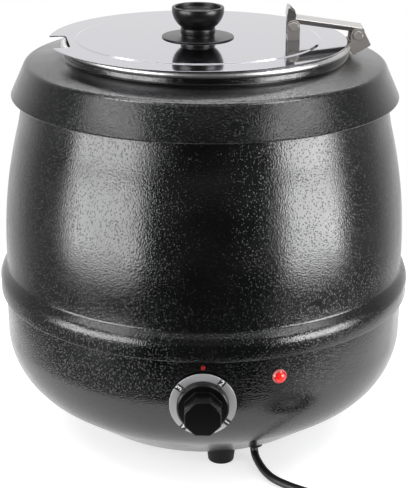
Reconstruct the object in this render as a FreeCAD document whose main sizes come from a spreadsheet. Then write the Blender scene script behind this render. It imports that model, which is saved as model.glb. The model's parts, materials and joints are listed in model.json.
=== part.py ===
"""Countertop soup kettle, built as an assembly of its separate pieces.

Millimetres, +Z up. The origin is on the kettle's axis, in the plane that the feet stand on.
The control knob faces -Y, the lid's hinge is on the +X side and the ladle notch on the -X side.
Azimuths are measured from the front, -Y, towards +X.
"""

import FreeCAD
import Part
import Sketcher
import math
import os
import re

SIZES = {
    # Outer body: two painted sheet shells and the collar on top.
    "wall": 1.2,
    "foot_height": 14,
    "rib_overhang": 4.1,
    "side_start": 78,
    "pan_bend": 60.5,
    "pan_slope": 36,
    "pan_corner": 5,
    "base_inset": 105.9,
    "rib_level": 112.3,
    "rib_face": 14.7,
    "rib_rise": 7,
    "rib_run": 5.6,
    "waist_straight": 15,
    "neck_gap": 24.5,
    "neck_straight": 12,
    "barrel_swell": 16.9,
    "shell_height": 292,
    "collar_overhang": 8,
    "collar_run": 11.8,
    "collar_drop": 18.3,
    "collar_rise": 8.7,
    "collar_round": 2.4,
    "lip_foot": 13.8,
    "lip_rise": 18.3,
    # Pot, and the water well that it hangs in.
    "pot_radius": 110.4,
    "pot_sheet": 0.8,
    "pot_clearance": 1.3,
    "pot_seat_gap": 0.3,
    "base_space": 61,
    "pot_corner": 22,
    "water_gap": 12.6,
    "water_depth": 25,
    "well_sheet": 0.8,
    "well_corner": 18,
    "well_flange": 13,
    "well_flange_gap": 5,
    # Lid.
    "lid_overhang": 6.4,
    "lid_sheet": 1.0,
    "lid_offset": 6,
    "lid_gap": 0.3,
    "lid_press": 0.6,
    "lid_press_inset": 21.7,
    "lid_press_width": 2,
    "notch_width": 47,
    "notch_depth": 15.5,
    "notch_corner": 5,
    "notch_angle": 190,
    # Lid knob.
    "skirt_radius": 28.75,
    "skirt_sheet": 1.0,
    "stem_radius": 13.25,
    "stem_height": 2.4,
    "collar_ring_radius": 13.9,
    "collar_ring_height": 4.6,
    "bowl_neck": 13,
    "bowl_radius": 20.65,
    "bowl_curve": 18,
    "bowl_height": 13.4,
    "bowl_band": 3,
    "bowl_wall": 2.6,
    "bowl_recess": 4,
    "knob_screw_radius": 2,
    "knob_screw_head": 4.5,
    "knob_screw_head_height": 2.2,
    "knob_screw_grip": 10,
    # Lid hinge.
    "hinge_overhang": 8.1,
    "hinge_rise": 6.2,
    "arm_reach": 50.9,
    "arm_climb": 6.7,
    "arm_width": 21.5,
    "arm_sheet": 1.2,
    "arm_top": 5.9,
    "arm_flange_low": 2.2,
    "arm_lobe": 4.5,
    "heel_width": 7,
    "heel_inset": 0.5,
    "heel_top": 14.4,
    "heel_low": 9,
    "hinge_side_gap": 0.35,
    "pin_radius": 2,
    "pin_fit": 0.05,
    "pin_head": 3.5,
    "pin_head_height": 1.6,
    "bracket_sheet": 1.5,
    "bracket_half": 4.85,
    "rivet_radius": 2,
    "rivet_head": 3.4,
    "rivet_head_height": 1.2,
    "rivet_spacing": 12,
    "clip_sheet": 1.65,
    "clip_round": 5.4,
    "clip_lean": 30.8,
    "clip_left": 6.4,
    "clip_left_drop": 11.5,
    "clip_toe": 3.4,
    "clip_toe_drop": 15.8,
    "clip_heel": 10.3,
    "clip_heel_drop": 7.6,
    "clip_strip": 1.5,
    "jaw_gap": 0.1,
    "jaw_sheet": 1.3,
    "jaw_wrap": 60,
    # Control: thermostat, dial and knob.
    "control_height": 92,
    "dial_radius": 25,
    "dial_sheet": 1.2,
    "dial_gap": 2.5,
    "knob_base_radius": 19.5,
    "knob_base_height": 7,
    "knob_flats": 27,
    "knob_grip": 16.6,
    "knob_bevel": 1.2,
    "shaft_radius": 3,
    "shaft_fit": 0.05,
    "shaft_hole": 4.5,
    "shaft_in_knob": 18,
    "shaft_in_body": 7,
    "shaft_bore_depth": 10,
    "thermostat_width": 36,
    "thermostat_height": 44,
    "thermostat_depth": 26,
    "thermostat_setback": 9.3,
    "thermostat_boss": 3.5,
    "thermostat_screw_spacing": 26,
    "thermostat_screw_lift": 5,
    "thermostat_screw": 2,
    "thermostat_screw_head": 3.2,
    "thermostat_screw_head_height": 1.6,
    "thermostat_screw_grip": 7,
    "pip_height": 120.6,
    "pip_radius": 1.75,
    "pip_proud": 0.8,
    "pip_depth": 2,
    "bulb_azimuth": 18.5,
    "bulb_radius": 3,
    "bulb_length": 70,
    "bulb_above_well": 26,
    "bulb_clip_width": 16,
    "bulb_clip_height": 10,
    "bulb_strap": 1.5,
    "capillary_radius": 1,
    "capillary_x": 10,
    "capillary_drop": 13,
    # Pilot lamp.
    "lamp_azimuth": 20,
    "lamp_height": 109.4,
    "lamp_hole": 4.75,
    "lamp_fit": 0.15,
    "lens_radius": 5.5,
    "lens_rim": 1.4,
    "lens_dome": 3.2,
    "lamp_length": 24,
    "lamp_nut_flats": 14,
    "lamp_nut_height": 3,
    # Heater under the well's floor.
    "heater_inset": 48,
    "heater_tube": 4.2,
    "heater_gap_angle": 20,
    "heater_bend": 8,
    "heater_leg": 3,
    "clamp_overhang": 11,
    "clamp_width": 16,
    "clamp_sheet": 3,
    "stud_radius": 4,
    "stud_length": 18,
    "stud_fit": 0.3,
    "stud_nut_flats": 13,
    "stud_nut_height": 6.5,
    "cutout_radius": 8,
    "cutout_height": 9,
    "cutout_x": -40,
    # Terminals on the pan's floor.
    "block_offset": 8.8,
    "block_width": 20,
    "block_length": 48,
    "block_height": 12,
    "wire_height": 6,
    "earth_y": 40,
    "earth_radius": 2,
    "earth_length": 12,
    "earth_nut_flats": 7,
    "earth_nut_height": 3.2,
    "earth_nut_lift": 4.2,
    "wire_radius": 1.2,
    # Feet and base cover.
    "foot_top": 12.2,
    "foot_bottom": 10.5,
    "foot_inset": 78.9,
    "foot_azimuth": 10,
    "foot_recess": 5.2,
    "foot_recess_depth": 6,
    "screw_clearance": 0.2,
    "foot_screw": 2,
    "foot_screw_head": 4,
    "foot_screw_head_height": 2.4,
    "foot_screw_length": 16,
    "foot_nut_flats": 7,
    "foot_nut_height": 3.2,
    "cover_lap": 8,
    "cover_vent": 3,
    "cover_vent_inset": 20,
    "cover_screw_inset": 4,
    "cover_screw": 1.5,
    "cover_screw_head": 3,
    "cover_screw_head_height": 1.8,
    "cover_screw_length": 7,
    # Mains cord, its bushing, tie and plug.
    "cord_radius": 3.3,
    "gland_inset": 72.9,
    "gland_azimuth": 27,
    "gland_hole": 5.5,
    "gland_flange": 7.2,
    "gland_flange_height": 2.4,
    "gland_barrel": 10,
    "gland_lip": 6.3,
    "gland_lip_height": 2,
    "gland_mouth": 4.9,
    "coil_right": 102.38,
    "coil_front": 121.74,
    "coil_radius": 46.6,
    "coil_space": 0.6,
    "coil_turns": 3,
    "coil_lift": 1.2,
    "coil_layer_space": 0.5,
    "tie_width": 9,
    "tie_sheet": 0.9,
    "tie_gap": 0.3,
    "plug_width": 27,
    "plug_length": 34,
    "plug_round": 5,
    "plug_relief": 22,
    "plug_relief_start": 4.6,
    "plug_relief_end": 7.5,
    "blade_width": 6.3,
    "blade_sheet": 1.6,
    "blade_length": 18,
    "blade_spacing": 12.7,
    "blade_offset": 3.5,
    "earth_pin_radius": 2.4,
    "earth_pin_length": 21,
    "earth_pin_offset": 7,
}

doc = FreeCAD.newDocument("SoupKettle")
sheet = doc.addObject("Spreadsheet::Sheet", "Dims")
for row, (alias, number) in enumerate(SIZES.items(), start=1):
    sheet.set(f"A{row}", alias)
    sheet.set(f"B{row}", str(number))
    sheet.setAlias(f"B{row}", alias)
doc.recompute()

WORD = re.compile(r"[a-z][a-z_]*")
X_AXIS = FreeCAD.Vector(1, 0, 0)
Y_AXIS = FreeCAD.Vector(0, 1, 0)
Z_AXIS = FreeCAD.Vector(0, 0, 1)
NODES = []


def bind(text):
    """The expression with each size read from the sheet."""
    return WORD.sub(lambda m: "Dims." + m.group(0) if m.group(0) in SIZES else m.group(0), str(text))


def value(text):
    """What the expression comes to now."""
    return float(sheet.evalExpression(bind(text)))


def vector(x, y, z):
    return FreeCAD.Vector(value(x), value(y), value(z))


def drive(obj, prop, text):
    obj.setExpression(prop, bind(text))


def node(obj, name):
    """Names a finished sub-part."""
    obj.Label = name
    NODES.append(obj)
    return obj


def place(obj, x="0", y="0", z="0", axis=Z_AXIS, angle="0"):
    obj.Placement = FreeCAD.Placement(FreeCAD.Vector(), FreeCAD.Rotation(axis, value(angle)))
    for letter, text in zip("xyz", (x, y, z)):
        drive(obj, f"Placement.Base.{letter}", text)
    return obj


def new_body(name):
    return doc.addObject("PartDesign::Body", name)


def sketch_on(body, role, name, spin_axis=Z_AXIS, spin="0", lift="0"):
    """A sketch on one of the body's own origin planes, turned in its plane and lifted off it."""
    plane = next(f for f in body.Origin.OriginFeatures if f.Role == role)
    sketch = body.newObject("Sketcher::SketchObject", name)
    sketch.AttachmentSupport = [(plane, "")]
    sketch.MapMode = "FlatFace"
    turn = FreeCAD.Rotation(spin_axis, value(spin))
    sketch.AttachmentOffset = FreeCAD.Placement(FreeCAD.Vector(), turn)
    drive(sketch, "AttachmentOffset.Base.z", lift)
    return sketch


def pin(sketch, shape, spot, x, y):
    """Holds a point of the sketch at a driven place."""
    for kind, text in (("DistanceX", x), ("DistanceY", y)):
        index = sketch.addConstraint(Sketcher.Constraint(kind, -1, 1, shape, spot, value(text)))
        drive(sketch, f"Constraints[{index}]", text)


def size(sketch, shape, radius):
    index = sketch.addConstraint(Sketcher.Constraint("Radius", shape, value(radius)))
    drive(sketch, f"Constraints[{index}]", radius)


def draw(sketch, points, arcs=None):
    """A closed outline. arcs maps an edge's first point to its radius and turn, 1 left or -1 right."""
    spots = [vector(x, y, "0") for x, y in points]
    ends = []
    for i, start in enumerate(spots):
        stop = spots[(i + 1) % len(spots)]
        if arcs is None or i not in arcs:
            ends.append((sketch.addGeometry(Part.LineSegment(start, stop), False), 1, 2))
            continue
        radius, turn = arcs[i]
        chord = stop - start
        left = FreeCAD.Vector(-chord.y, chord.x, 0).normalize()
        reach = math.sqrt(max(value(radius) ** 2 - (chord.Length / 2) ** 2, 0))
        centre = (start + stop) * 0.5 + left * (reach * turn)
        first, last = (start, stop) if turn > 0 else (stop, start)
        begin = math.atan2(first.y - centre.y, first.x - centre.x)
        sweep = (math.atan2(last.y - centre.y, last.x - centre.x) - begin) % (2 * math.pi)
        circle = Part.Circle(centre, Z_AXIS, value(radius))
        shape = sketch.addGeometry(Part.ArcOfCircle(circle, begin, begin + sweep), False)
        size(sketch, shape, radius)
        ends.append((shape, 1, 2) if turn > 0 else (shape, 2, 1))
    for i, (shape, head, tail) in enumerate(ends):
        after, after_head = ends[(i + 1) % len(ends)][:2]
        sketch.addConstraint(Sketcher.Constraint("Coincident", shape, tail, after, after_head))
        pin(sketch, shape, head, *points[i])


def ring(sketch, x, y, radius):
    """A circle in the sketch."""
    shape = sketch.addGeometry(Part.Circle(vector(x, y, "0"), Z_AXIS, value(radius)), False)
    pin(sketch, shape, 3, x, y)
    size(sketch, shape, radius)


def spun(name, points, arcs=None):
    """A body turned about Z from an outline of radius and height."""
    body = new_body(name)
    sketch = sketch_on(body, "XZ_Plane", name + "_outline")
    draw(sketch, points, arcs)
    turned = body.newObject("PartDesign::Revolution", name + "_turned")
    turned.Profile = sketch
    turned.ReferenceAxis = (sketch, ["V_Axis"])
    turned.Angle = 360
    return body


def pad(body, sketch, length, both=False):
    feature = body.newObject("PartDesign::Pad", sketch.Name + "_pad")
    feature.Profile = sketch
    feature.SideType = "Symmetric" if both else "One side"
    drive(feature, "Length", length)
    return feature


def pocket(body, sketch, length, forward=False, both=False):
    """Cuts along the sketch's normal if forward, else against it, and makes sure that it cut."""
    doc.recompute()
    before = body.Shape.Volume
    feature = body.newObject("PartDesign::Pocket", sketch.Name + "_cut")
    feature.Profile = sketch
    feature.Reversed = forward
    feature.SideType = "Symmetric" if both else "One side"
    drive(feature, "Length", length)
    doc.recompute()
    if body.Shape.isNull() or body.Shape.Volume > before - 0.01:
        raise RuntimeError(sketch.Name + " cuts nothing")
    return feature


def round_edges(body, name, radius, test, kind="Fillet"):
    """Rounds or bevels the edges of the body that pass the test."""
    doc.recompute()
    base = body.Tip
    edges = [f"Edge{i}" for i, edge in enumerate(base.Shape.Edges, start=1) if test(edge)]
    if not edges:
        raise RuntimeError(name + " finds no edge")
    feature = body.newObject("PartDesign::" + kind, name)
    feature.Base = (base, edges)
    drive(feature, "Radius" if kind == "Fillet" else "Size", radius)
    return feature


def rim_at(radius, height):
    """A test for circular edges of a radius, level at a height in the body's own frame."""
    wanted = value(radius)
    level = value(height)

    def test(edge):
        curve = edge.Curve
        if not isinstance(curve, Part.Circle):
            return False
        return abs(curve.Radius - wanted) < 0.01 and abs(curve.Center.z - level) < 0.01

    return test


def rod(name, radius, length, x, y, z, axis=Z_AXIS, angle="0"):
    """A cylinder from a point along Z, or along Z turned about an axis."""
    obj = doc.addObject("Part::Cylinder", name)
    drive(obj, "Radius", radius)
    drive(obj, "Height", length)
    return place(obj, x, y, z, axis, angle)


def block(name, length, width, height, x, y, z):
    """A box from its lowest corner."""
    obj = doc.addObject("Part::Box", name)
    drive(obj, "Length", length)
    drive(obj, "Width", width)
    drive(obj, "Height", height)
    return place(obj, x, y, z)


def cut(name, base, tool):
    obj = doc.addObject("Part::Cut", name)
    obj.Base = base
    obj.Tool = tool
    return obj


def common(name, base, tool):
    obj = doc.addObject("Part::Common", name)
    obj.Base = base
    obj.Tool = tool
    return obj


def fuse(name, *shapes):
    obj = doc.addObject("Part::MultiFuse", name)
    obj.Shapes = list(shapes)
    return obj


def group(name, members):
    obj = doc.addObject("Part::Compound", name + "_group")
    obj.Links = members
    return node(obj, name)


def nut(name, flats, height, bore, x, y, z, axis=Z_AXIS, angle="0"):
    """A hexagon nut on a bore."""
    prism = doc.addObject("Part::Prism", name + "_hex")
    prism.Polygon = 6
    drive(prism, "Circumradius", f"{flats} / 2 / cos(30)")
    drive(prism, "Height", height)
    place(prism, x, y, z, axis, angle)
    return cut(name, prism, rod(name + "_bore", bore, height, x, y, z, axis, angle))


def polar_x(radius, azimuth):
    return f"(({radius}) * sin({azimuth}))"


def polar_y(radius, azimuth):
    return f"(-1 * ({radius}) * cos({azimuth}))"


def arc_edge(start, tangent, stop):
    """The circular arc from start, along tangent, to stop."""
    chord = stop - start
    along = FreeCAD.Vector(chord).normalize()
    across = tangent - along * tangent.dot(along)
    if across.Length < 1e-6:
        return Part.LineSegment(start, stop).toShape()
    angle = math.atan2(across.Length, tangent.dot(along))
    rise = across.normalize() * (chord.Length / 2 * math.tan(angle / 2))
    return Part.Arc(start, (start + stop) * 0.5 + rise, stop).toShape()


def route(points):
    """Edges and radii of a path of straight runs joined by tangent arcs as large as the runs allow."""
    edges = []
    radii = []
    last = points[0]
    for before, corner, after in zip(points, points[1:], points[2:]):
        inward = (corner - before)
        outward = (after - corner)
        reach = 0.45 * min(inward.Length, outward.Length)
        inward.normalize()
        outward.normalize()
        start = corner - inward * reach
        stop = corner + outward * reach
        edges.append(Part.LineSegment(last, start).toShape())
        edges.append(arc_edge(start, inward, stop))
        radii.append(reach / math.tan(inward.getAngle(outward) / 2))
        last = stop
    edges.append(Part.LineSegment(last, points[-1]).toShape())
    return edges, radii


def sweep(name, edges, radius):
    """A solid tube along a tangent path, its volume compared with its section times its length."""
    path = Part.Wire(edges)
    start = edges[0].valueAt(edges[0].FirstParameter)
    heading = edges[0].tangentAt(edges[0].FirstParameter)
    section = Part.Wire([Part.Circle(start, heading, radius).toShape()])
    solid = path.makePipeShell([section], True, False)
    expected = math.pi * radius**2 * path.Length
    if not solid.isValid() or abs(solid.Volume - expected) > 0.01 * expected:
        raise RuntimeError(name + " is not a sound tube")
    obj = doc.addObject("Part::Feature", name)
    obj.Shape = solid
    return obj


def tube(name, points, radius):
    """A tube of straight runs and tangent arcs through driven points."""
    edges, radii = route([vector(*p) for p in points])
    print(name, "radii", " ".join(f"{r:.1f}" for r in radii), "length", f"{Part.Wire(edges).Length:.0f}")
    return sweep(name, edges, value(radius))


# Levels and radii that several pieces share.
WELL_OUT = "(pot_radius + water_gap)"
NECK = f"({WELL_OUT} + neck_gap)"
COLLAR = f"({NECK} + collar_overhang)"
WAIST = f"({NECK} + barrel_swell)"
RIB = f"({WAIST} + rib_run)"
PAN_OUT = f"({RIB} - rib_overhang)"
PAN_IN = f"({RIB} - rib_overhang - wall)"
FLOOR = "(foot_height + wall)"
SIDE = "(foot_height + side_start)"
RIB_LOW = "(foot_height + rib_level)"
RIB_HIGH = "(foot_height + rib_level + rib_face)"
WAIST_Z = "(foot_height + rib_level + rib_face + rib_rise)"
BARREL_Z = "(foot_height + rib_level + rib_face + rib_rise + waist_straight)"
FLANGE = "(foot_height + shell_height)"
HEM_Z = f"({FLANGE} - collar_drop)"
NECK_Z = f"({HEM_Z} - neck_straight)"
BULGE = f"((barrel_swell ^ 2 + ({NECK_Z} - {BARREL_Z}) ^ 2) / (2 * barrel_swell))"
EDGE_Z = f"({FLANGE} + collar_rise)"
LIP_IN = "(pot_radius + pot_clearance)"
LIP_OUT = "(pot_radius + pot_clearance + wall)"
LIP_FOOT = f"({FLANGE} + lip_foot)"
LIP_Z = f"({FLANGE} + lip_rise)"
BEAD = "(pot_sheet + pot_clearance + wall / 2)"
BEAD_R = "(pot_radius + pot_clearance + wall / 2)"
BEAD_Z = f"({LIP_Z} + pot_seat_gap + {BEAD})"
POT_FLOOR = "(foot_height + base_space)"
WELL_FLOOR = f"({POT_FLOOR} - water_depth - well_sheet)"
LID_LOW = f"({BEAD_Z} + {BEAD} + lid_gap)"
LID_CENTRE = f"({LID_LOW} + lid_press)"
LID_TOP = f"({LID_LOW} + lid_press + lid_sheet)"
PIN_A_Z = f"({LID_LOW} + hinge_rise)"
LID_R = f"({BEAD_R} + lid_overhang)"
PRESS_R = f"({LID_R} - lid_press_inset)"
HINGE_X = f"({BEAD_R} + hinge_overhang)"
PIN_B_X = f"({HINGE_X} - arm_reach)"
PIN_B_Z = f"({PIN_A_Z} + arm_climb)"
BOSS_Z = "(control_height + thermostat_screw_lift)"
HEATER_R = f"({WELL_OUT} - heater_inset)"
CLAMP_LONG = f"(2 * ({HEATER_R} + clamp_overhang))"
LEG_X = f"({HEATER_R} * cos(heater_gap_angle) + heater_bend * sin(heater_gap_angle))"
BLOCK_X = f"({LEG_X} + block_offset)"
BASE_OPEN = f"({PAN_OUT} - base_inset)"
VENT_CIRCLE = f"({BASE_OPEN} - cover_vent_inset)"
FOOT_CIRCLE = f"({PAN_OUT} - foot_inset)"
GLAND_CIRCLE = f"({PAN_OUT} - gland_inset)"
gland = (polar_x(GLAND_CIRCLE, "gland_azimuth"), polar_y(GLAND_CIRCLE, "gland_azimuth"))
COIL_X = f"({gland[0]} + coil_right)"
COIL_Y = f"({gland[1]} - coil_front)"
PITCH = "(2 * cord_radius + coil_space)"
LAYER = "(2 * cord_radius + coil_layer_space)"

# Lower pan: flat floor, sloped bottom, wide bend and upright side that seats under the shell's rib.
SLANT = "(wall * sqrt(rib_rise ^ 2 + rib_run ^ 2) / rib_rise)"


def rib_inside_z(radius):
    """Height at which the inside of the rib's upper slope has a radius."""
    return f"({RIB_HIGH} + ({RIB} - {SLANT} - ({radius})) * rib_rise / rib_run)"


bend_r = f"({PAN_OUT} - pan_bend)"
bend_out = (f"({bend_r} + pan_bend * sin(pan_slope))", f"({SIDE} - pan_bend * cos(pan_slope))")
bend_in = (
    f"({bend_r} + (pan_bend - wall) * sin(pan_slope))",
    f"({SIDE} - (pan_bend - wall) * cos(pan_slope))",
)
corner_out = f"({bend_out[0]} - ({bend_out[1]} - foot_height) / tan(pan_slope))"
corner_in = f"({bend_in[0]} - ({bend_in[1]} - {FLOOR}) / tan(pan_slope))"
lower_pan = spun(
    "lower_pan",
    [
        (BASE_OPEN, "foot_height"),
        (corner_out, "foot_height"),
        bend_out,
        (PAN_OUT, SIDE),
        (PAN_OUT, rib_inside_z(PAN_OUT)),
        (PAN_IN, rib_inside_z(PAN_IN)),
        (PAN_IN, SIDE),
        bend_in,
        (corner_in, FLOOR),
        (BASE_OPEN, FLOOR),
    ],
    {2: ("pan_bend", 1), 6: ("pan_bend - wall", -1)},
)
round_edges(lower_pan, "pan_corner_outside", "pan_corner", rim_at(corner_out, "foot_height"))
round_edges(lower_pan, "pan_corner_inside", "pan_corner - wall", rim_at(corner_in, FLOOR))
FEET = [f"(foot_azimuth + {turn})" for turn in (0, 120, 240)]
COVER_SCREWS = [f"{turn}" for turn in (55, 145, 235, 325)]
cover_screw_circle = f"({BASE_OPEN} + cover_screw_inset)"
floor_holes = sketch_on(lower_pan, "XY_Plane", "floor_holes")
ring(floor_holes, *gland, "gland_hole")
for azimuth in FEET:
    spot = (polar_x(FOOT_CIRCLE, azimuth), polar_y(FOOT_CIRCLE, azimuth))
    ring(floor_holes, *spot, "foot_screw + screw_clearance")
for azimuth in COVER_SCREWS:
    spot = (polar_x(cover_screw_circle, azimuth), polar_y(cover_screw_circle, azimuth))
    ring(floor_holes, *spot, "cover_screw")
ring(floor_holes, BLOCK_X, "earth_y", "earth_radius")
pocket(lower_pan, floor_holes, "foot_height + 2 * wall", forward=True)
front_holes = sketch_on(lower_pan, "XZ_Plane", "front_holes")
ring(front_holes, "0", "control_height", "shaft_hole")
ring(front_holes, "0", "pip_height", "pip_radius")
for side in ("-1", "1"):
    ring(
        front_holes,
        f"{side} * thermostat_screw_spacing / 2",
        BOSS_Z,
        "thermostat_screw + screw_clearance",
    )
pocket(lower_pan, front_holes, RIB, forward=True)
lamp_seat = sketch_on(lower_pan, "XZ_Plane", "lamp_seat", Y_AXIS, "lamp_azimuth")
ring(lamp_seat, "0", "lamp_height", "lamp_hole")
pocket(lower_pan, lamp_seat, RIB, forward=True)
node(lower_pan, "lower_pan")

# Upper shell: rib, short waist, barrel drawn in to the neck, and an inward flange under the collar.
LEAN = "(wall * sqrt((collar_drop + collar_rise) ^ 2 + collar_run ^ 2) / (collar_drop + collar_rise))"
CONE = "(collar_run / (collar_drop + collar_rise))"


def cone_r(sheets, height):
    """Radius of the collar's cone, some sheets in from its outside, at a height."""
    return f"({COLLAR} - {sheets} * {LEAN} - ({height} - {HEM_Z}) * {CONE})"


def cone_z(sheets, radius):
    """Height at which that cone has a radius."""
    return f"({HEM_Z} + ({COLLAR} - {sheets} * {LEAN} - ({radius})) / {CONE})"


neck_in = f"({NECK} - wall)"
barrel_in = f"({BARREL_Z} + sqrt(({BULGE} - wall) ^ 2 - ({BULGE} - wall - barrel_swell) ^ 2))"
flange_in = f"({WELL_OUT} + well_flange_gap)"
upper_shell = spun(
    "upper_shell",
    [
        (RIB, RIB_LOW),
        (RIB, RIB_HIGH),
        (WAIST, WAIST_Z),
        (WAIST, BARREL_Z),
        (NECK, NECK_Z),
        (NECK, cone_z(1, NECK)),
        (cone_r(1, FLANGE), FLANGE),
        (flange_in, FLANGE),
        (flange_in, f"({FLANGE} - wall)"),
        (cone_r(2, f"({FLANGE} - wall)"), f"({FLANGE} - wall)"),
        (neck_in, cone_z(2, neck_in)),
        (neck_in, barrel_in),
        (f"({WAIST} - wall)", BARREL_Z),
        (f"({WAIST} - wall)", rib_inside_z(f"({WAIST} - wall)")),
        (f"({RIB} - wall)", rib_inside_z(f"({RIB} - wall)")),
        (f"({RIB} - wall)", RIB_LOW),
    ],
    {3: (BULGE, 1), 11: (f"{BULGE} - wall", -1)},
)
node(upper_shell, "upper_shell")

# Top collar: leaning skirt, rounded edge, shoulder, and the upright lip that the pot's bead hangs on.
edge_r = f"({COLLAR} - collar_run)"
shoulder = f"(({LIP_FOOT} - {EDGE_Z}) / ({edge_r} - {LIP_OUT}))"
under = f"(wall * sqrt(1 + {shoulder} ^ 2))"
cone_top = f"({COLLAR} - {LEAN} + {CONE} * {HEM_Z})"
under_top = f"({EDGE_Z} - {under} + {shoulder} * {edge_r})"
inside_r = f"(({cone_top} - {CONE} * {under_top}) / (1 - {CONE} * {shoulder}))"
top_collar = spun(
    "top_collar",
    [
        (COLLAR, HEM_Z),
        (edge_r, EDGE_Z),
        (LIP_OUT, LIP_FOOT),
        (LIP_OUT, LIP_Z),
        (LIP_IN, LIP_Z),
        (LIP_IN, f"({under_top} - {shoulder} * {LIP_IN})"),
        (inside_r, f"({under_top} - {shoulder} * {inside_r})"),
        (cone_r(1, HEM_Z), HEM_Z),
    ],
)
round_edges(top_collar, "collar_edge", "collar_round", rim_at(edge_r, EDGE_Z))
round_edges(top_collar, "collar_lip_foot", "collar_round - wall / 2", rim_at(LIP_OUT, LIP_FOOT))
node(top_collar, "top_collar")

# Water well: hangs by its flange on the shell's flange.
water_well = spun(
    "water_well",
    [
        ("0", WELL_FLOOR),
        (f"({WELL_OUT} - well_corner)", WELL_FLOOR),
        (WELL_OUT, f"({WELL_FLOOR} + well_corner)"),
        (WELL_OUT, FLANGE),
        (f"({WELL_OUT} + well_flange)", FLANGE),
        (f"({WELL_OUT} + well_flange)", f"({FLANGE} + well_sheet)"),
        (f"({WELL_OUT} - well_sheet)", f"({FLANGE} + well_sheet)"),
        (f"({WELL_OUT} - well_sheet)", f"({WELL_FLOOR} + well_corner)"),
        (f"({WELL_OUT} - well_corner)", f"({WELL_FLOOR} + well_sheet)"),
        ("0", f"({WELL_FLOOR} + well_sheet)"),
    ],
    {1: ("well_corner", 1), 7: ("well_corner - well_sheet", -1)},
)
node(water_well, "water_well")

# Inner pot: a drawn pot with its rim rolled into a closed bead.
bead_foot = f"({BEAD_Z} - sqrt({BEAD} ^ 2 - ({BEAD_R} - pot_radius) ^ 2))"
inner_pot = spun(
    "inner_pot",
    [
        ("0", POT_FLOOR),
        ("(pot_radius - pot_corner)", POT_FLOOR),
        ("pot_radius", f"({POT_FLOOR} + pot_corner)"),
        ("pot_radius", bead_foot),
        (BEAD_R, f"({BEAD_Z} - {BEAD})"),
        (f"({BEAD_R} + {BEAD})", BEAD_Z),
        (BEAD_R, f"({BEAD_Z} + {BEAD})"),
        ("(pot_radius - pot_sheet)", BEAD_Z),
        ("(pot_radius - pot_sheet)", f"({POT_FLOOR} + pot_corner)"),
        ("(pot_radius - pot_corner)", f"({POT_FLOOR} + pot_sheet)"),
        ("0", f"({POT_FLOOR} + pot_sheet)"),
    ],
    {
        1: ("pot_corner", 1),
        3: (BEAD, 1),
        4: (BEAD, 1),
        5: (BEAD, 1),
        6: (BEAD, 1),
        8: ("pot_corner - pot_sheet", -1),
    },
)
node(inner_pot, "inner_pot")

# Lid: a pressed disc, its middle a little proud, with a round-cornered notch for the ladle.
press_in = f"({PRESS_R} - lid_press_width / 2)"
press_out = f"({PRESS_R} + lid_press_width / 2)"
lid = spun(
    "lid",
    [
        ("(knob_screw_radius + screw_clearance)", LID_CENTRE),
        (press_in, LID_CENTRE),
        (press_out, LID_LOW),
        (LID_R, LID_LOW),
        (LID_R, f"({LID_LOW} + lid_sheet)"),
        (press_out, f"({LID_LOW} + lid_sheet)"),
        (press_in, LID_TOP),
        ("(knob_screw_radius + screw_clearance)", LID_TOP),
    ],
)
notch = sketch_on(lid, "XY_Plane", "ladle_notch", Z_AXIS, "notch_angle")
notch_end = f"({LID_R} - notch_depth)"
draw(
    notch,
    [
        (f"({notch_end} + notch_corner)", "-1 * notch_width / 2"),
        (f"({LID_R} + notch_corner)", "-1 * notch_width / 2"),
        (f"({LID_R} + notch_corner)", "notch_width / 2"),
        (f"({notch_end} + notch_corner)", "notch_width / 2"),
        (notch_end, "notch_width / 2 - notch_corner"),
        (notch_end, "notch_corner - notch_width / 2"),
    ],
    {3: ("notch_corner", 1), 5: ("notch_corner", 1)},
)
pocket(lid, notch, f"{LID_TOP} + wall", forward=True)
rivet_holes = sketch_on(lid, "XY_Plane", "rivet_holes")
for side in ("-1", "1"):
    ring(rivet_holes, f"{PIN_B_X} + lid_offset", f"{side} * rivet_spacing / 2", "rivet_radius")
pocket(lid, rivet_holes, f"{LID_TOP} + wall", forward=True)
place(lid, "-1 * lid_offset")
node(lid, "lid")

# Lid knob: a plain bowl on a ringed stem, over a thin disc, held by a screw from under the lid.
KNOB_Z = f"({LID_TOP} + skirt_sheet)"
ring_low = f"({KNOB_Z} + stem_height)"
ring_high = f"({ring_low} + collar_ring_height)"
band_low = f"({ring_high} + bowl_height)"
knob_top = f"({band_low} + bowl_band)"
knob_screw_top = f"({LID_TOP} + knob_screw_grip)"
lid_knob = spun(
    "lid_knob",
    [
        ("knob_screw_radius", KNOB_Z),
        ("stem_radius", KNOB_Z),
        ("stem_radius", ring_low),
        ("collar_ring_radius", ring_low),
        ("collar_ring_radius", ring_high),
        ("bowl_neck", ring_high),
        ("bowl_radius", band_low),
        ("bowl_radius", knob_top),
        ("(bowl_radius - bowl_wall)", knob_top),
        ("(bowl_radius - bowl_wall)", f"({knob_top} - bowl_recess)"),
        ("0", f"({knob_top} - bowl_recess)"),
        ("0", knob_screw_top),
        ("knob_screw_radius", knob_screw_top),
    ],
    {5: ("bowl_curve", 1)},
)
round_edges(lid_knob, "knob_rim", "bowl_wall * 0.35", rim_at("bowl_radius", knob_top))
place(lid_knob, "-1 * lid_offset")
node(lid_knob, "lid_knob")
lid_knob_skirt = spun(
    "lid_knob_skirt",
    [
        ("(knob_screw_radius + screw_clearance)", LID_TOP),
        ("skirt_radius", LID_TOP),
        ("skirt_radius", KNOB_Z),
        ("(knob_screw_radius + screw_clearance)", KNOB_Z),
    ],
)
place(lid_knob_skirt, "-1 * lid_offset")
node(lid_knob_skirt, "lid_knob_skirt")
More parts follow.
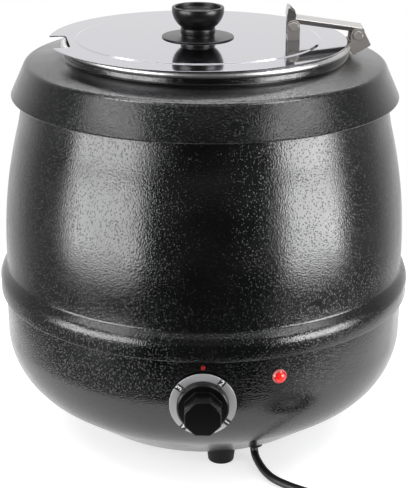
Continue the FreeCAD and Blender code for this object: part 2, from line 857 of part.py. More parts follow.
lid_knob_screw = spun(
    "lid_knob_screw",
    [
        ("0", f"({LID_CENTRE} - knob_screw_head_height)"),
        ("knob_screw_head", f"({LID_CENTRE} - knob_screw_head_height)"),
        ("knob_screw_head", LID_CENTRE),
        ("knob_screw_radius", LID_CENTRE),
        ("knob_screw_radius", knob_screw_top),
        ("0", knob_screw_top),
    ],
)
place(lid_knob_screw, "-1 * lid_offset")
node(lid_knob_screw, "lid_knob_screw")

# Bracket on the lid: two ears round the outer hinge pin, on a base held by two rivets.
EAR_IN = "(arm_width / 2 + hinge_side_gap)"
lid_bracket = new_body("lid_hinge_bracket")
ears = sketch_on(lid_bracket, "XZ_Plane", "bracket_ears")
draw(
    ears,
    [
        (f"({PIN_B_X} - bracket_half)", LID_TOP),
        (f"({PIN_B_X} + bracket_half)", LID_TOP),
        (f"({PIN_B_X} + bracket_half)", PIN_B_Z),
        (PIN_B_X, f"({PIN_B_Z} + bracket_half)"),
        (f"({PIN_B_X} - bracket_half)", PIN_B_Z),
    ],
    {2: ("bracket_half", 1), 3: ("bracket_half", 1)},
)
ring(ears, PIN_B_X, PIN_B_Z, "pin_radius")
pad(lid_bracket, ears, f"2 * ({EAR_IN} + bracket_sheet)", both=True)
between_ears = sketch_on(lid_bracket, "XZ_Plane", "between_ears")
draw(
    between_ears,
    [
        (f"({PIN_B_X} - 2 * bracket_half)", f"({LID_TOP} + bracket_sheet)"),
        (f"({PIN_B_X} + 2 * bracket_half)", f"({LID_TOP} + bracket_sheet)"),
        (f"({PIN_B_X} + 2 * bracket_half)", f"({PIN_B_Z} + 2 * bracket_half)"),
        (f"({PIN_B_X} - 2 * bracket_half)", f"({PIN_B_Z} + 2 * bracket_half)"),
    ],
)
pocket(lid_bracket, between_ears, f"2 * {EAR_IN}", both=True)
bracket_holes = sketch_on(lid_bracket, "XY_Plane", "bracket_holes")
for side in ("-1", "1"):
    ring(bracket_holes, PIN_B_X, f"{side} * rivet_spacing / 2", "rivet_radius")
pocket(lid_bracket, bracket_holes, f"{LID_TOP} + 2 * bracket_sheet", forward=True)
node(lid_bracket, "lid_hinge_bracket")
rivets = []
for label, side in (("near", "-1"), ("far", "1")):
    y = f"{side} * rivet_spacing / 2"
    low = f"{LID_CENTRE} - rivet_head_height"
    shank = rod(f"rivet_{label}_shank", "rivet_radius", "lid_sheet + bracket_sheet", PIN_B_X, y, LID_CENTRE)
    head = rod(
        f"rivet_{label}_head", "rivet_head", "rivet_head_height", PIN_B_X, y, f"{LID_TOP} + bracket_sheet"
    )
    tail = rod(f"rivet_{label}_tail", "rivet_head", "rivet_head_height", PIN_B_X, y, low)
    rivets.append(fuse(f"rivet_{label}", shank, head, tail))
group("bracket_rivets", rivets)


def hinge_pin(name, x, z, half):
    """A headed pin along Y."""
    shank = rod(name + "_shank", "pin_radius", f"2 * ({half})", x, f"{half}", z, X_AXIS, "90")
    heads = [
        rod(name + "_head", "pin_head", "pin_head_height", x, f"-1 * ({half})", z, X_AXIS, "90"),
        rod(name + "_tail", "pin_head", "pin_head_height", x, f"{half} + pin_head_height", z, X_AXIS, "90"),
    ]
    return node(fuse(name, shank, *heads), name)


hinge_pin("lid_hinge_pin", PIN_B_X, PIN_B_Z, f"{EAR_IN} + bracket_sheet")
hinge_pin("rim_hinge_pin", HINGE_X, PIN_A_Z, f"{EAR_IN} + clip_sheet")

# Hinge arm: folded sheet, web on top and a flange each side, with a heel that stands up past the lid's pin.
ARM = "sqrt(arm_reach ^ 2 + arm_climb ^ 2)"
heel_in = f"(heel_inset - {ARM})"
heel_out = f"({heel_in} - heel_width)"
hinge_arm = new_body("hinge_arm")
arm_side = sketch_on(hinge_arm, "XZ_Plane", "arm_side")
draw(
    arm_side,
    [
        ("arm_lobe", "0"),
        ("arm_lobe", "arm_top - 2 * arm_sheet"),
        ("arm_lobe - arm_sheet", "arm_top"),
        (heel_in, "arm_top"),
        (heel_in, "heel_low"),
        (heel_out, "heel_top"),
        (heel_out, "arm_top"),
        (f"(-1 * {ARM} - arm_lobe)", "0"),
        (f"(-1 * {ARM})", "-1 * arm_lobe"),
        (f"(arm_lobe - {ARM})", "0"),
        (f"(arm_lobe - {ARM})", "arm_flange_low"),
        ("-1 * arm_lobe", "arm_flange_low"),
        ("-1 * arm_lobe", "0"),
        ("0", "-1 * arm_lobe"),
    ],
    {7: ("arm_lobe", 1), 8: ("arm_lobe", 1), 12: ("arm_lobe", 1), 13: ("arm_lobe", 1)},
)
ring(arm_side, "0", "0", "pin_radius + pin_fit")
ring(arm_side, f"(-1 * {ARM})", "0", "pin_radius + pin_fit")
pad(hinge_arm, arm_side, "arm_width", both=True)
fold = sketch_on(hinge_arm, "XZ_Plane", "arm_fold")
draw(
    fold,
    [
        ("(arm_lobe - arm_sheet)", "-2 * arm_lobe"),
        ("(arm_lobe - arm_sheet)", "(arm_top - 2.2 * arm_sheet)"),
        ("(arm_lobe - 1.6 * arm_sheet)", "(arm_top - arm_sheet)"),
        (heel_in, "(arm_top - arm_sheet)"),
        (heel_in, "(heel_top + arm_top)"),
        (f"({heel_out} + arm_sheet)", "(heel_top + arm_top)"),
        (f"({heel_out} + arm_sheet)", "-2 * arm_lobe"),
    ],
)
pocket(hinge_arm, fold, "arm_width - 2 * arm_sheet", both=True)


def arm_fold_edges(edge):
    """The long top edges where the web folds into the flanges."""
    ends = [v.Point for v in edge.Vertexes]
    side = value("arm_width / 2")
    return len(ends) == 2 and all(
        abs(p.z - value("arm_top")) < 0.01 and abs(abs(p.y) - side) < 0.01 for p in ends
    )


round_edges(hinge_arm, "arm_bends", "arm_sheet * 0.8", arm_fold_edges)
arm_slope = math.degrees(math.atan2(value("arm_climb"), value("arm_reach")))
place(hinge_arm, HINGE_X, "0", PIN_A_Z, Y_AXIS, arm_slope)
node(hinge_arm, "hinge_arm")

# Rim clip: two plates on a strip, with a jaw round the pot's bead.
lean_x = "(clip_round * cos(clip_lean))"
lean_z = "(clip_round * sin(clip_lean))"
rim_clip = new_body("rim_clip")
plates = sketch_on(rim_clip, "XZ_Plane", "clip_plates")
draw(
    plates,
    [
        (f"{HINGE_X} + {lean_x}", f"{PIN_A_Z} + {lean_z}"),
        (f"{HINGE_X} - clip_round", PIN_A_Z),
        (f"{HINGE_X} - clip_left", f"{PIN_A_Z} - clip_left_drop"),
        (f"{HINGE_X} - clip_toe", f"{PIN_A_Z} - clip_toe_drop"),
        (f"{HINGE_X} + clip_heel", f"{PIN_A_Z} - clip_heel_drop"),
    ],
    {0: ("clip_round", 1)},
)
ring(plates, HINGE_X, PIN_A_Z, "pin_radius")
pad(rim_clip, plates, f"2 * ({EAR_IN} + clip_sheet)", both=True)
strip_run = "(clip_heel + clip_toe)"
strip_rise = "(clip_toe_drop - clip_heel_drop)"
strip_up = f"(clip_strip * sqrt({strip_run} ^ 2 + {strip_rise} ^ 2) / {strip_run})"
strip_tilt = f"({strip_rise} / {strip_run})"


def strip_z(x):
    """Height of the strip's upper face at a distance from the pin."""
    return f"({PIN_A_Z} - clip_toe_drop + ({x} + clip_toe) * {strip_tilt} + {strip_up})"


between_plates = sketch_on(rim_clip, "XZ_Plane", "between_plates")
draw(
    between_plates,
    [
        (f"{HINGE_X} - 2 * clip_left", strip_z("(-2 * clip_left)")),
        (f"{HINGE_X} + 2 * clip_heel", strip_z("(2 * clip_heel)")),
        (f"{HINGE_X} + 2 * clip_heel", f"{PIN_A_Z} + 2 * clip_round"),
        (f"{HINGE_X} - 2 * clip_left", f"{PIN_A_Z} + 2 * clip_round"),
    ],
)
pocket(rim_clip, between_plates, f"2 * {EAR_IN}", both=True)
JAW_IN = f"({BEAD} + jaw_gap)"
JAW_OUT = f"({BEAD} + jaw_gap + jaw_sheet)"
jaw_half = math.degrees(math.asin(value(f"({EAR_IN} + clip_sheet) / {BEAD_R}")))
jaw = sketch_on(rim_clip, "XZ_Plane", "clip_jaw")
jaw_cos = "cos(jaw_wrap)"
jaw_sin = "sin(jaw_wrap)"
draw(
    jaw,
    [
        (f"({BEAD_R} + {JAW_IN} * {jaw_cos})", f"({BEAD_Z} - {JAW_IN} * {jaw_sin})"),
        (f"({BEAD_R} + {JAW_OUT} * {jaw_cos})", f"({BEAD_Z} - {JAW_OUT} * {jaw_sin})"),
        (f"({BEAD_R} + {JAW_OUT})", BEAD_Z),
        (f"({BEAD_R} + {JAW_OUT} * {jaw_cos})", f"({BEAD_Z} + {JAW_OUT} * {jaw_sin})"),
        (f"({BEAD_R} + {JAW_IN} * {jaw_cos})", f"({BEAD_Z} + {JAW_IN} * {jaw_sin})"),
        (f"({BEAD_R} + {JAW_IN})", BEAD_Z),
    ],
    {1: (JAW_OUT, 1), 2: (JAW_OUT, 1), 4: (JAW_IN, -1), 5: (JAW_IN, -1)},
)
jaw_turn = rim_clip.newObject("PartDesign::Revolution", "clip_jaw_turned")
jaw_turn.Profile = jaw
jaw_turn.ReferenceAxis = (jaw, ["V_Axis"])
jaw_turn.Angle = 2 * jaw_half
jaw_turn.Midplane = True
bead_space = sketch_on(rim_clip, "XZ_Plane", "clip_bead_space")
ring(bead_space, BEAD_R, BEAD_Z, JAW_IN)
doc.recompute()
clip_volume = rim_clip.Shape.Volume
bead_groove = rim_clip.newObject("PartDesign::Groove", "clip_bead_groove")
bead_groove.Profile = bead_space
bead_groove.ReferenceAxis = (bead_space, ["V_Axis"])
bead_groove.Angle = 360
doc.recompute()
if rim_clip.Shape.Volume > clip_volume - 0.01:
    raise RuntimeError("the rim clip's groove cuts nothing")
node(rim_clip, "rim_clip")

# Control knob: a round base and an eight-sided grip, on the shaft, with the dial behind it.
DIAL_BACK = f"({PAN_OUT} + dial_gap)"
KNOB_BACK = f"({PAN_OUT} + dial_gap + dial_sheet)"
control_knob = new_body("control_knob")
knob_base = sketch_on(control_knob, "XY_Plane", "knob_base")
ring(knob_base, "0", "0", "knob_base_radius")
pad(control_knob, knob_base, "knob_base_height")
grip = sketch_on(control_knob, "XY_Plane", "knob_grip_outline")
draw(
    grip,
    [
        (
            f"knob_flats / 2 / cos(22.5) * cos({22.5 + 45 * i})",
            f"knob_flats / 2 / cos(22.5) * sin({22.5 + 45 * i})",
        )
        for i in range(8)
    ],
)
pad(control_knob, grip, "knob_base_height + knob_grip")


def grip_front(edge):
    """The edges round the front of the grip."""
    level = value("knob_base_height + knob_grip")
    return all(abs(v.Point.z - level) < 0.01 for v in edge.Vertexes)


round_edges(control_knob, "knob_front_bevel", "knob_bevel / 2", grip_front, "Chamfer")
round_edges(
    control_knob, "knob_base_bevel", "knob_bevel", rim_at("knob_base_radius", "knob_base_height"), "Chamfer"
)
knob_bore = sketch_on(control_knob, "XY_Plane", "knob_bore")
ring(knob_bore, "0", "0", "shaft_radius")
pocket(control_knob, knob_bore, "shaft_in_knob", forward=True)
place(control_knob, "0", f"-1 * {KNOB_BACK}", "control_height", X_AXIS, "90")
node(control_knob, "control_knob")
dial = new_body("dial_plate")
dial_face = sketch_on(dial, "XY_Plane", "dial_face")
ring(dial_face, "0", "0", "dial_radius")
ring(dial_face, "0", "0", "shaft_radius")
pad(dial, dial_face, "dial_sheet")
place(dial, "0", f"-1 * {DIAL_BACK}", "control_height", X_AXIS, "90")
node(dial, "dial_plate")

# Thermostat: a box with two bosses screwed to the inside of the pan's side, behind the dial.
BODY_FRONT = f"({PAN_IN} - thermostat_setback)"
BODY_LOW = "(control_height - thermostat_height / 2)"
shaft_start = f"({BODY_FRONT} - shaft_in_body)"
shaft = rod(
    "thermostat_shaft",
    "shaft_radius",
    f"{KNOB_BACK} + shaft_in_knob - {shaft_start}",
    "0",
    f"-1 * {shaft_start}",
    "control_height",
    X_AXIS,
    "90",
)
node(shaft, "thermostat_shaft")
case = block(
    "thermostat_case",
    "thermostat_width",
    "thermostat_depth",
    "thermostat_height",
    "-1 * thermostat_width / 2",
    f"-1 * {BODY_FRONT}",
    BODY_LOW,
)
inside_of_pan = rod("inside_of_pan", PAN_IN, FLANGE, "0", "0", "0")
bosses = []
boss_holes = []
screws = []
for label, side in (("left", "-1"), ("right", "1")):
    x = f"{side} * thermostat_screw_spacing / 2"
    boss = rod(
        f"boss_{label}",
        "thermostat_boss",
        f"{PAN_IN} - {BODY_FRONT}",
        x,
        f"-1 * {BODY_FRONT}",
        BOSS_Z,
        X_AXIS,
        "90",
    )
    bosses.append(common(f"boss_{label}_fitted", boss, inside_of_pan))
    # The head bears on the pan's curved side along its inner edge.
    head_seat = f"sqrt({PAN_OUT} ^ 2 - (thermostat_screw_spacing / 2 - thermostat_screw_head) ^ 2)"
    grip_start = f"({BODY_FRONT} - thermostat_screw_grip)"
    boss_holes.append(
        rod(
            f"boss_{label}_hole",
            "thermostat_screw",
            f"{PAN_OUT} - {grip_start}",
            x,
            f"-1 * {grip_start}",
            BOSS_Z,
            X_AXIS,
            "90",
        )
    )
    shank = rod(
        f"thermostat_screw_{label}_shank",
        "thermostat_screw",
        f"{head_seat} - {grip_start}",
        x,
        f"-1 * {grip_start}",
        BOSS_Z,
        X_AXIS,
        "90",
    )
    head = rod(
        f"thermostat_screw_{label}_head",
        "thermostat_screw_head",
        "thermostat_screw_head_height",
        x,
        f"-1 * {head_seat}",
        BOSS_Z,
        X_AXIS,
        "90",
    )
    screws.append(fuse(f"thermostat_screw_{label}", shank, head))
shaft_bore = rod(
    "thermostat_bore",
    "shaft_radius + shaft_fit",
    "shaft_bore_depth",
    "0",
    f"shaft_bore_depth - {BODY_FRONT}",
    "control_height",
    X_AXIS,
    "90",
)
thermostat = cut(
    "thermostat_body",
    fuse("thermostat_solid", case, *bosses),
    fuse("thermostat_holes", shaft_bore, *boss_holes),
)
node(thermostat, "thermostat_body")
group("thermostat_screws", screws)

# Sensor bulb strapped to the well's side, and the capillary from the thermostat to it.
bulb_circle = f"({WELL_OUT} + bulb_radius)"
bulb_x = polar_x(bulb_circle, "bulb_azimuth")
bulb_y = polar_y(bulb_circle, "bulb_azimuth")
BULB_LOW = f"({WELL_FLOOR} + bulb_above_well)"
bulb = rod("sensor_bulb", "bulb_radius", "bulb_length", bulb_x, bulb_y, BULB_LOW)
node(bulb, "sensor_bulb")
strap_low = f"({BULB_LOW} + bulb_length / 2)"
strap_r = f"({WELL_OUT} + 2 * bulb_radius + bulb_strap)"


def across_bulb(name, width, depth):
    """A box across the bulb, its outer face at the strap's outside, turned to the bulb's azimuth."""
    obj = block(name, width, depth, "bulb_clip_height", "0", "0", "0")
    return place(
        obj,
        f"{polar_x(strap_r, 'bulb_azimuth')} - ({width}) / 2 * cos(bulb_azimuth)",
        f"{polar_y(strap_r, 'bulb_azimuth')} - ({width}) / 2 * sin(bulb_azimuth)",
        strap_low,
        Z_AXIS,
        "bulb_azimuth",
    )


strap = across_bulb("bulb_strap_blank", "bulb_clip_width", "3 * bulb_radius + bulb_strap")
strap_front = across_bulb("bulb_strap_front", "2 * bulb_radius", "bulb_radius + bulb_strap")
bulb_slot = across_bulb("bulb_slot", "2 * bulb_radius", "4 * bulb_radius + bulb_strap")
well_side = rod("well_side", WELL_OUT, FLANGE, "0", "0", "0")
bulb_space = rod("bulb_space", "bulb_radius", "bulb_length", bulb_x, bulb_y, BULB_LOW)
strap_sides = cut("bulb_strap_sides", strap, fuse("bulb_strap_spaces", well_side, bulb_slot))
strap_bridge = cut("bulb_strap_bridge", strap_front, bulb_space)
bulb_clip = fuse("bulb_clip", strap_sides, strap_bridge)
node(bulb_clip, "bulb_clip")
body_mid = f"(thermostat_depth / 2 - {BODY_FRONT})"
capillary = tube(
    "capillary_tube",
    [
        ("capillary_x", body_mid, BODY_LOW),
        ("capillary_x", body_mid, f"{BODY_LOW} - capillary_drop"),
        (f"(capillary_x + {bulb_x}) / 2", f"({body_mid} + {bulb_y}) / 2", f"{BODY_LOW} - 1.4 * capillary_drop"),
        (bulb_x, bulb_y, f"{BULB_LOW} - capillary_drop - bulb_radius"),
        (bulb_x, bulb_y, BULB_LOW),
    ],
    "capillary_radius",
)
node(capillary, "capillary_tube")

# Index pip above the dial, and the pilot lamp beside it.
pip = rod(
    "index_pip",
    "pip_radius",
    "pip_depth + pip_proud",
    "0",
    f"pip_depth - {PAN_OUT}",
    "pip_height",
    X_AXIS,
    "90",
)
node(pip, "index_pip")


def lamp_piece(body, radius):
    """Turns a piece made along Z to point outwards at the lamp, from a radius."""
    x = polar_x(radius, "lamp_azimuth")
    y = polar_y(radius, "lamp_azimuth")
    upright = FreeCAD.Rotation(X_AXIS, 90)
    body.Placement = FreeCAD.Placement(
        FreeCAD.Vector(), FreeCAD.Rotation(Z_AXIS, value("lamp_azimuth")).multiply(upright)
    )
    for letter, text in zip("xyz", (x, y, "lamp_height")):
        drive(body, f"Placement.Base.{letter}", text)


lens = spun(
    "pilot_lamp_lens",
    [
        ("0", "0"),
        ("lens_radius", "0"),
        ("lens_radius", "lens_rim"),
        ("0", "lens_rim + lens_dome"),
    ],
    {2: ("(lens_radius ^ 2 + lens_dome ^ 2) / (2 * lens_dome)", 1)},
)
lamp_piece(lens, PAN_OUT)
node(lens, "pilot_lamp_lens")
lamp_body = doc.addObject("Part::Cylinder", "pilot_lamp_body")
drive(lamp_body, "Radius", "lamp_hole - lamp_fit")
drive(lamp_body, "Height", "lamp_length")
lamp_piece(lamp_body, f"({PAN_OUT} - lamp_length)")
node(lamp_body, "pilot_lamp_body")
# The nut's corners bear on the inside of the pan's curved side.
lamp_nut_seat = f"(sqrt({PAN_IN} ^ 2 - (lamp_nut_flats / 2 / cos(30)) ^ 2) - lamp_nut_height)"
lamp_hex = doc.addObject("Part::Prism", "lamp_nut_hex")
lamp_hex.Polygon = 6
drive(lamp_hex, "Circumradius", "lamp_nut_flats / 2 / cos(30)")
drive(lamp_hex, "Height", "lamp_nut_height")
lamp_piece(lamp_hex, lamp_nut_seat)
lamp_bore = doc.addObject("Part::Cylinder", "lamp_nut_bore")
drive(lamp_bore, "Radius", "lamp_hole - lamp_fit")
drive(lamp_bore, "Height", "lamp_nut_height")
lamp_piece(lamp_bore, lamp_nut_seat)
node(cut("pilot_lamp_nut", lamp_hex, lamp_bore), "pilot_lamp_nut")

# Tube heater under the well's floor: most of a ring, its two ends bent down to the terminals.
heater_z = value(f"{WELL_FLOOR} - heater_tube")
heater_r = value(HEATER_R)
bend = value("heater_bend")
gap = math.radians(value("heater_gap_angle"))


def heater_spot(angle, radius=heater_r, height=heater_z):
    return FreeCAD.Vector(radius * math.cos(angle), radius * math.sin(angle), height)


def heater_leg(side):
    """Edges of one leg, from its free end up to the ring, at the +Y or -Y end of the gap."""
    end = heater_spot(side * gap)
    along = FreeCAD.Vector(math.sin(gap), -side * math.cos(gap), 0)
    knee = end + along * bend - Z_AXIS * bend
    foot = knee - Z_AXIS * value("heater_leg")
    return foot, [Part.LineSegment(foot, knee).toShape(), arc_edge(knee, FreeCAD.Vector(Z_AXIS), end)], end


near_foot, near_leg, near_end = heater_leg(-1)
far_foot, far_leg, far_end = heater_leg(1)
back = heater_spot(math.pi)
quarter_near = heater_spot(-(gap + math.pi) / 2)
quarter_far = heater_spot((gap + math.pi) / 2)
ring_edges = [
    Part.Arc(near_end, quarter_near, back).toShape(),
    Part.Arc(back, quarter_far, far_end).toShape(),
]
far_down = [
    arc_edge(far_end, FreeCAD.Vector(math.sin(gap), -math.cos(gap), 0), far_leg[0].Vertexes[1].Point),
    Part.LineSegment(far_leg[0].Vertexes[1].Point, far_foot).toShape(),
]
heater = sweep("heating_element", near_leg + ring_edges + far_down, value("heater_tube"))
node(heater, "heating_element")

# Clamp bar that holds the heater up, on a stud welded to the well.
clamp_z = f"({WELL_FLOOR} - 2 * heater_tube - clamp_sheet)"
stud = rod("heater_stud", "stud_radius", "stud_length", "0", "0", f"{WELL_FLOOR} - stud_length")
node(stud, "heater_stud")
bar = block(
    "clamp_blank",
    "clamp_width",
    CLAMP_LONG,
    "clamp_sheet",
    "-1 * clamp_width / 2",
    f"-1 * {CLAMP_LONG} / 2",
    clamp_z,
)
bar_hole = rod("clamp_hole", "stud_radius + stud_fit", "clamp_sheet", "0", "0", clamp_z)
node(cut("heater_clamp_bar", bar, bar_hole), "heater_clamp_bar")
stud_nut = nut(
    "heater_clamp_nut",
    "stud_nut_flats",
    "stud_nut_height",
    "stud_radius",
    "0",
    "0",
    f"{clamp_z} - stud_nut_height",
)
node(stud_nut, "heater_clamp_nut")
cutout_low = f"({WELL_FLOOR} - cutout_height)"
cutout = rod("thermal_cutout", "cutout_radius", "cutout_height", "cutout_x", "0", cutout_low)
node(cutout, "thermal_cutout")

# Terminal block and earth stud on the pan's floor.
block_top = f"({FLOOR} + block_height)"
terminal = block(
    "terminal_block",
    "block_width",
    "block_length",
    "block_height",
    f"{BLOCK_X} - block_width / 2",
    "-1 * block_length / 2",
    FLOOR,
)
node(terminal, "terminal_block")
earth = rod("earth_stud", "earth_radius", "wall + earth_length", BLOCK_X, "earth_y", "foot_height")
node(earth, "earth_stud")
earth_nut = nut(
    "earth_nut",
    "earth_nut_flats",
    "earth_nut_height",
    "earth_radius",
    BLOCK_X,
    "earth_y",
    f"{FLOOR} + earth_nut_lift",
)
node(earth_nut, "earth_nut")

# Inner wires.
wire_z = f"({FLOOR} + wire_height)"
block_near = "(-1 * block_length / 2)"
lamp_end = f"({PAN_OUT} - lamp_length)"
lamp_turn = f"({lamp_end} - 7)"
wires = []
for label, x, end in (("live", f"{BLOCK_X} + 3", "-6"), ("switched", f"{BLOCK_X} + 7.5", "0")):
    points = [
        (x, block_near, wire_z),
        (x, f"{block_near} - 20", wire_z),
        (f"{x} - 16", f"{block_near} - 62", f"{wire_z} + 10"),
        (f"{x} - 54", f"{block_near} - 96", f"{wire_z} + 17"),
        (end, body_mid, f"{BODY_LOW} - 18"),
        (end, body_mid, BODY_LOW),
    ]
    wires.append(tube(f"wire_{label}", points, "wire_radius"))
wires.append(
    tube(
        "wire_lamp",
        [
            (polar_x(lamp_end, "lamp_azimuth"), polar_y(lamp_end, "lamp_azimuth"), "lamp_height"),
            (polar_x(lamp_turn, "lamp_azimuth"), polar_y(lamp_turn, "lamp_azimuth"), "lamp_height"),
            (f"{polar_x(lamp_turn, 'lamp_azimuth')} - 8", f"{body_mid} + 12", "lamp_height - 2"),
            ("thermostat_width / 2 + 11", body_mid, "lamp_height - 4"),
            ("thermostat_width / 2", body_mid, "lamp_height - 4"),
        ],
        "wire_radius",
    )
)
wires.append(
    tube(
        "wire_cutout",
        [
            ("cutout_x", "0", cutout_low),
            ("cutout_x", "0", f"{cutout_low} - 14"),
            ("cutout_x + 34", "8", f"{wire_z} + 1.5"),
            (f"{BLOCK_X} - block_width / 2 - 40", "5", f"{wire_z} - 1.5"),
            (f"{BLOCK_X} - block_width / 2 - 14", "6", wire_z),
            (f"{BLOCK_X} - block_width / 2", "6", wire_z),
        ],
        "wire_radius",
    )
)
nut_side = "(earth_y - earth_nut_flats / 2)"
earth_mid = f"({FLOOR} + earth_nut_lift + earth_nut_height / 2)"
earth_run = f"{nut_side} - block_length / 2"
wires.append(
    rod("wire_earth", "wire_radius", earth_run, BLOCK_X, nut_side, earth_mid, X_AXIS, "90")
)
for label, foot in (("near", near_foot), ("far", far_foot)):
    drop = f"{foot.z} - {block_top}"
    wires.append(rod(f"wire_heater_{label}", "wire_radius", drop, foot.x, foot.y, block_top))
group("inner_wires", wires)

# Feet, the screws and nuts that hold them, and the base cover.
foot_screws = []
foot_nuts = []
recess_top = "foot_recess_depth"
for number, azimuth in enumerate(FEET, start=1):
    x = polar_x(FOOT_CIRCLE, azimuth)
    y = polar_y(FOOT_CIRCLE, azimuth)
    foot = spun(
        f"foot_{number}",
        [
            ("foot_recess", "0"),
            ("foot_bottom", "0"),
            ("foot_top", "foot_height"),
            ("foot_screw + screw_clearance", "foot_height"),
            ("foot_screw + screw_clearance", recess_top),
            ("foot_recess", recess_top),
        ],
    )
    place(foot, x, y)
    node(foot, f"foot_{number}")
    head = rod(
        f"foot_screw_{number}_head",
        "foot_screw_head",
        "foot_screw_head_height",
        x,
        y,
        f"{recess_top} - foot_screw_head_height",
    )
    shank = rod(f"foot_screw_{number}_shank", "foot_screw", "foot_screw_length", x, y, recess_top)
    foot_screws.append(fuse(f"foot_screw_{number}", head, shank))
    foot_nuts.append(nut(f"foot_nut_{number}", "foot_nut_flats", "foot_nut_height", "foot_screw", x, y, FLOOR))
group("foot_screws", foot_screws)
group("foot_nuts", foot_nuts)
COVER_LOW = "(foot_height - wall)"
cover = new_body("base_cover")
cover_disc = sketch_on(cover, "XY_Plane", "cover_disc", lift=COVER_LOW)
ring(cover_disc, "0", "0", f"{BASE_OPEN} + cover_lap")
for azimuth in COVER_SCREWS:
    spot = (polar_x(cover_screw_circle, azimuth), polar_y(cover_screw_circle, azimuth))
    ring(cover_disc, *spot, "cover_screw + screw_clearance")
pad(cover, cover_disc, "wall")
vent = sketch_on(cover, "XY_Plane", "cover_vent_hole", lift=COVER_LOW)
ring(vent, VENT_CIRCLE, "0", "cover_vent")
vent_cut = pocket(cover, vent, "2 * wall", forward=True)
vents = cover.newObject("PartDesign::PolarPattern", "cover_vents")
vents.Originals = [vent_cut]
vents.Axis = (vent, ["N_Axis"])
vents.Angle = 360
vents.Occurrences = 8
cover.Tip = vents
node(cover, "base_cover")
cover_screws = []
for number, azimuth in enumerate(COVER_SCREWS, start=1):
    x = polar_x(cover_screw_circle, azimuth)
    y = polar_y(cover_screw_circle, azimuth)
    head = rod(
        f"cover_screw_{number}_head",
        "cover_screw_head",
        "cover_screw_head_height",
        x,
        y,
        f"{COVER_LOW} - cover_screw_head_height",
    )
    shank = rod(f"cover_screw_{number}_shank", "cover_screw", "cover_screw_length", x, y, COVER_LOW)
    cover_screws.append(fuse(f"cover_screw_{number}", head, shank))
group("base_screws", cover_screws)

# Cord bushing through the pan's floor.
bushing_top = f"({FLOOR} + gland_barrel)"
bushing = spun(
    "cord_bushing",
    [
        ("gland_mouth", "(foot_height - gland_flange_height)"),
        ("gland_flange", "(foot_height - gland_flange_height)"),
        ("gland_flange", "foot_height"),
        ("gland_hole", "foot_height"),
        ("gland_hole", FLOOR),
        ("gland_lip", FLOOR),
        ("gland_lip", f"({FLOOR} + gland_lip_height)"),
        ("gland_hole", f"({FLOOR} + gland_lip_height)"),
        ("gland_hole", bushing_top),
        ("cord_radius", bushing_top),
        ("cord_radius", "foot_height"),
        ("gland_mouth", "foot_height"),
    ],
)
place(bushing, *gland)
node(bushing, "cord_bushing")
tail = tube(
    "cord_tail",
    [
        (*gland, "foot_height"),
        (*gland, f"{bushing_top} + 8.5"),
        (f"{gland[0]} + 10", f"{gland[1]} + 11", f"{bushing_top} + 14"),
        (f"{gland[0]} + 24", f"{gland[1]} + 27", f"{wire_z} + 9"),
        (f"{BLOCK_X} - 5", f"{block_near} - 16", wire_z),
        (f"{BLOCK_X} - 5", block_near, wire_z),
    ],
    "cord_radius",
)
node(tail, "cord_tail")

# The mains cord: down out of the bushing, over the floor to the right and into its coil.
CORD_Z = "(cord_radius + 0.1)"
COIL_Z = "(cord_radius + coil_lift)"
coil_start = (f"{COIL_X} - 2 * cord_radius", f"{COIL_Y} + coil_radius", COIL_Z)
mains_cord = tube(
    "mains_cord",
    [
        (*gland, "foot_height"),
        (*gland, "7.8"),
        (f"{gland[0]} + 0.98", f"{gland[1]} - 4.34", CORD_Z),
        (f"{gland[0]} + 3.38", f"{gland[1]} - 15.74", CORD_Z),
        (f"{gland[0]} + 7.28", f"{gland[1]} - 29.14", CORD_Z),
        (f"{gland[0]} + 13.78", f"{gland[1]} - 41.64", CORD_Z),
        (f"{gland[0]} + 24.28", f"{gland[1]} - 51.14", CORD_Z),
        (f"{gland[0]} + 37.28", f"{gland[1]} - 60.14", CORD_Z),
        (f"{gland[0]} + 51.78", f"{gland[1]} - 67.64", CORD_Z),
        (f"{gland[0]} + 67.28", f"{gland[1]} - 72.64", "(cord_radius + 0.4)"),
        (f"{COIL_X} - 20.6", f"{COIL_Y} + coil_radius", COIL_Z),
        coil_start,
    ],
    "cord_radius",
)
node(mains_cord, "mains_cord")


def coil_point(turns):
    """Place on the coil's centre line: in on the lower layer, up in half a turn, out on the upper."""
    count = value("coil_turns")
    pitch = value(PITCH)
    angle = math.pi / 2 - 2 * math.pi * turns
    after = turns - count
    if after <= 0:
        radius = value("coil_radius") - pitch * turns
        climb = 0
    elif after >= 0.5:
        radius = value("coil_radius") - pitch * count + pitch * (after - 0.5)
        climb = 1
    else:
        radius = value("coil_radius") - pitch * count - pitch * after * (1 - 2 * after)
        climb = (2 * after) ** 2 * (3 - 4 * after)
    return vector(
        f"{COIL_X} + {radius * math.cos(angle)}",
        f"{COIL_Y} + {radius * math.sin(angle)}",
        f"{COIL_Z} + {LAYER} * {climb}",
    )


def biarc(start, tangent, stop, last):
    """Two tangent arcs between two points with given headings."""
    span = stop - start
    heading = tangent + last
    curve = 2 * (tangent.dot(last) - 1)
    lean = span.dot(heading)
    reach = (lean - math.sqrt(lean**2 - curve * span.dot(span))) / curve
    middle = (start + tangent * reach + stop - last * reach) * 0.5
    first = arc_edge(start, tangent, middle)
    return [first, arc_edge(middle, first.tangentAt(first.LastParameter), stop)]


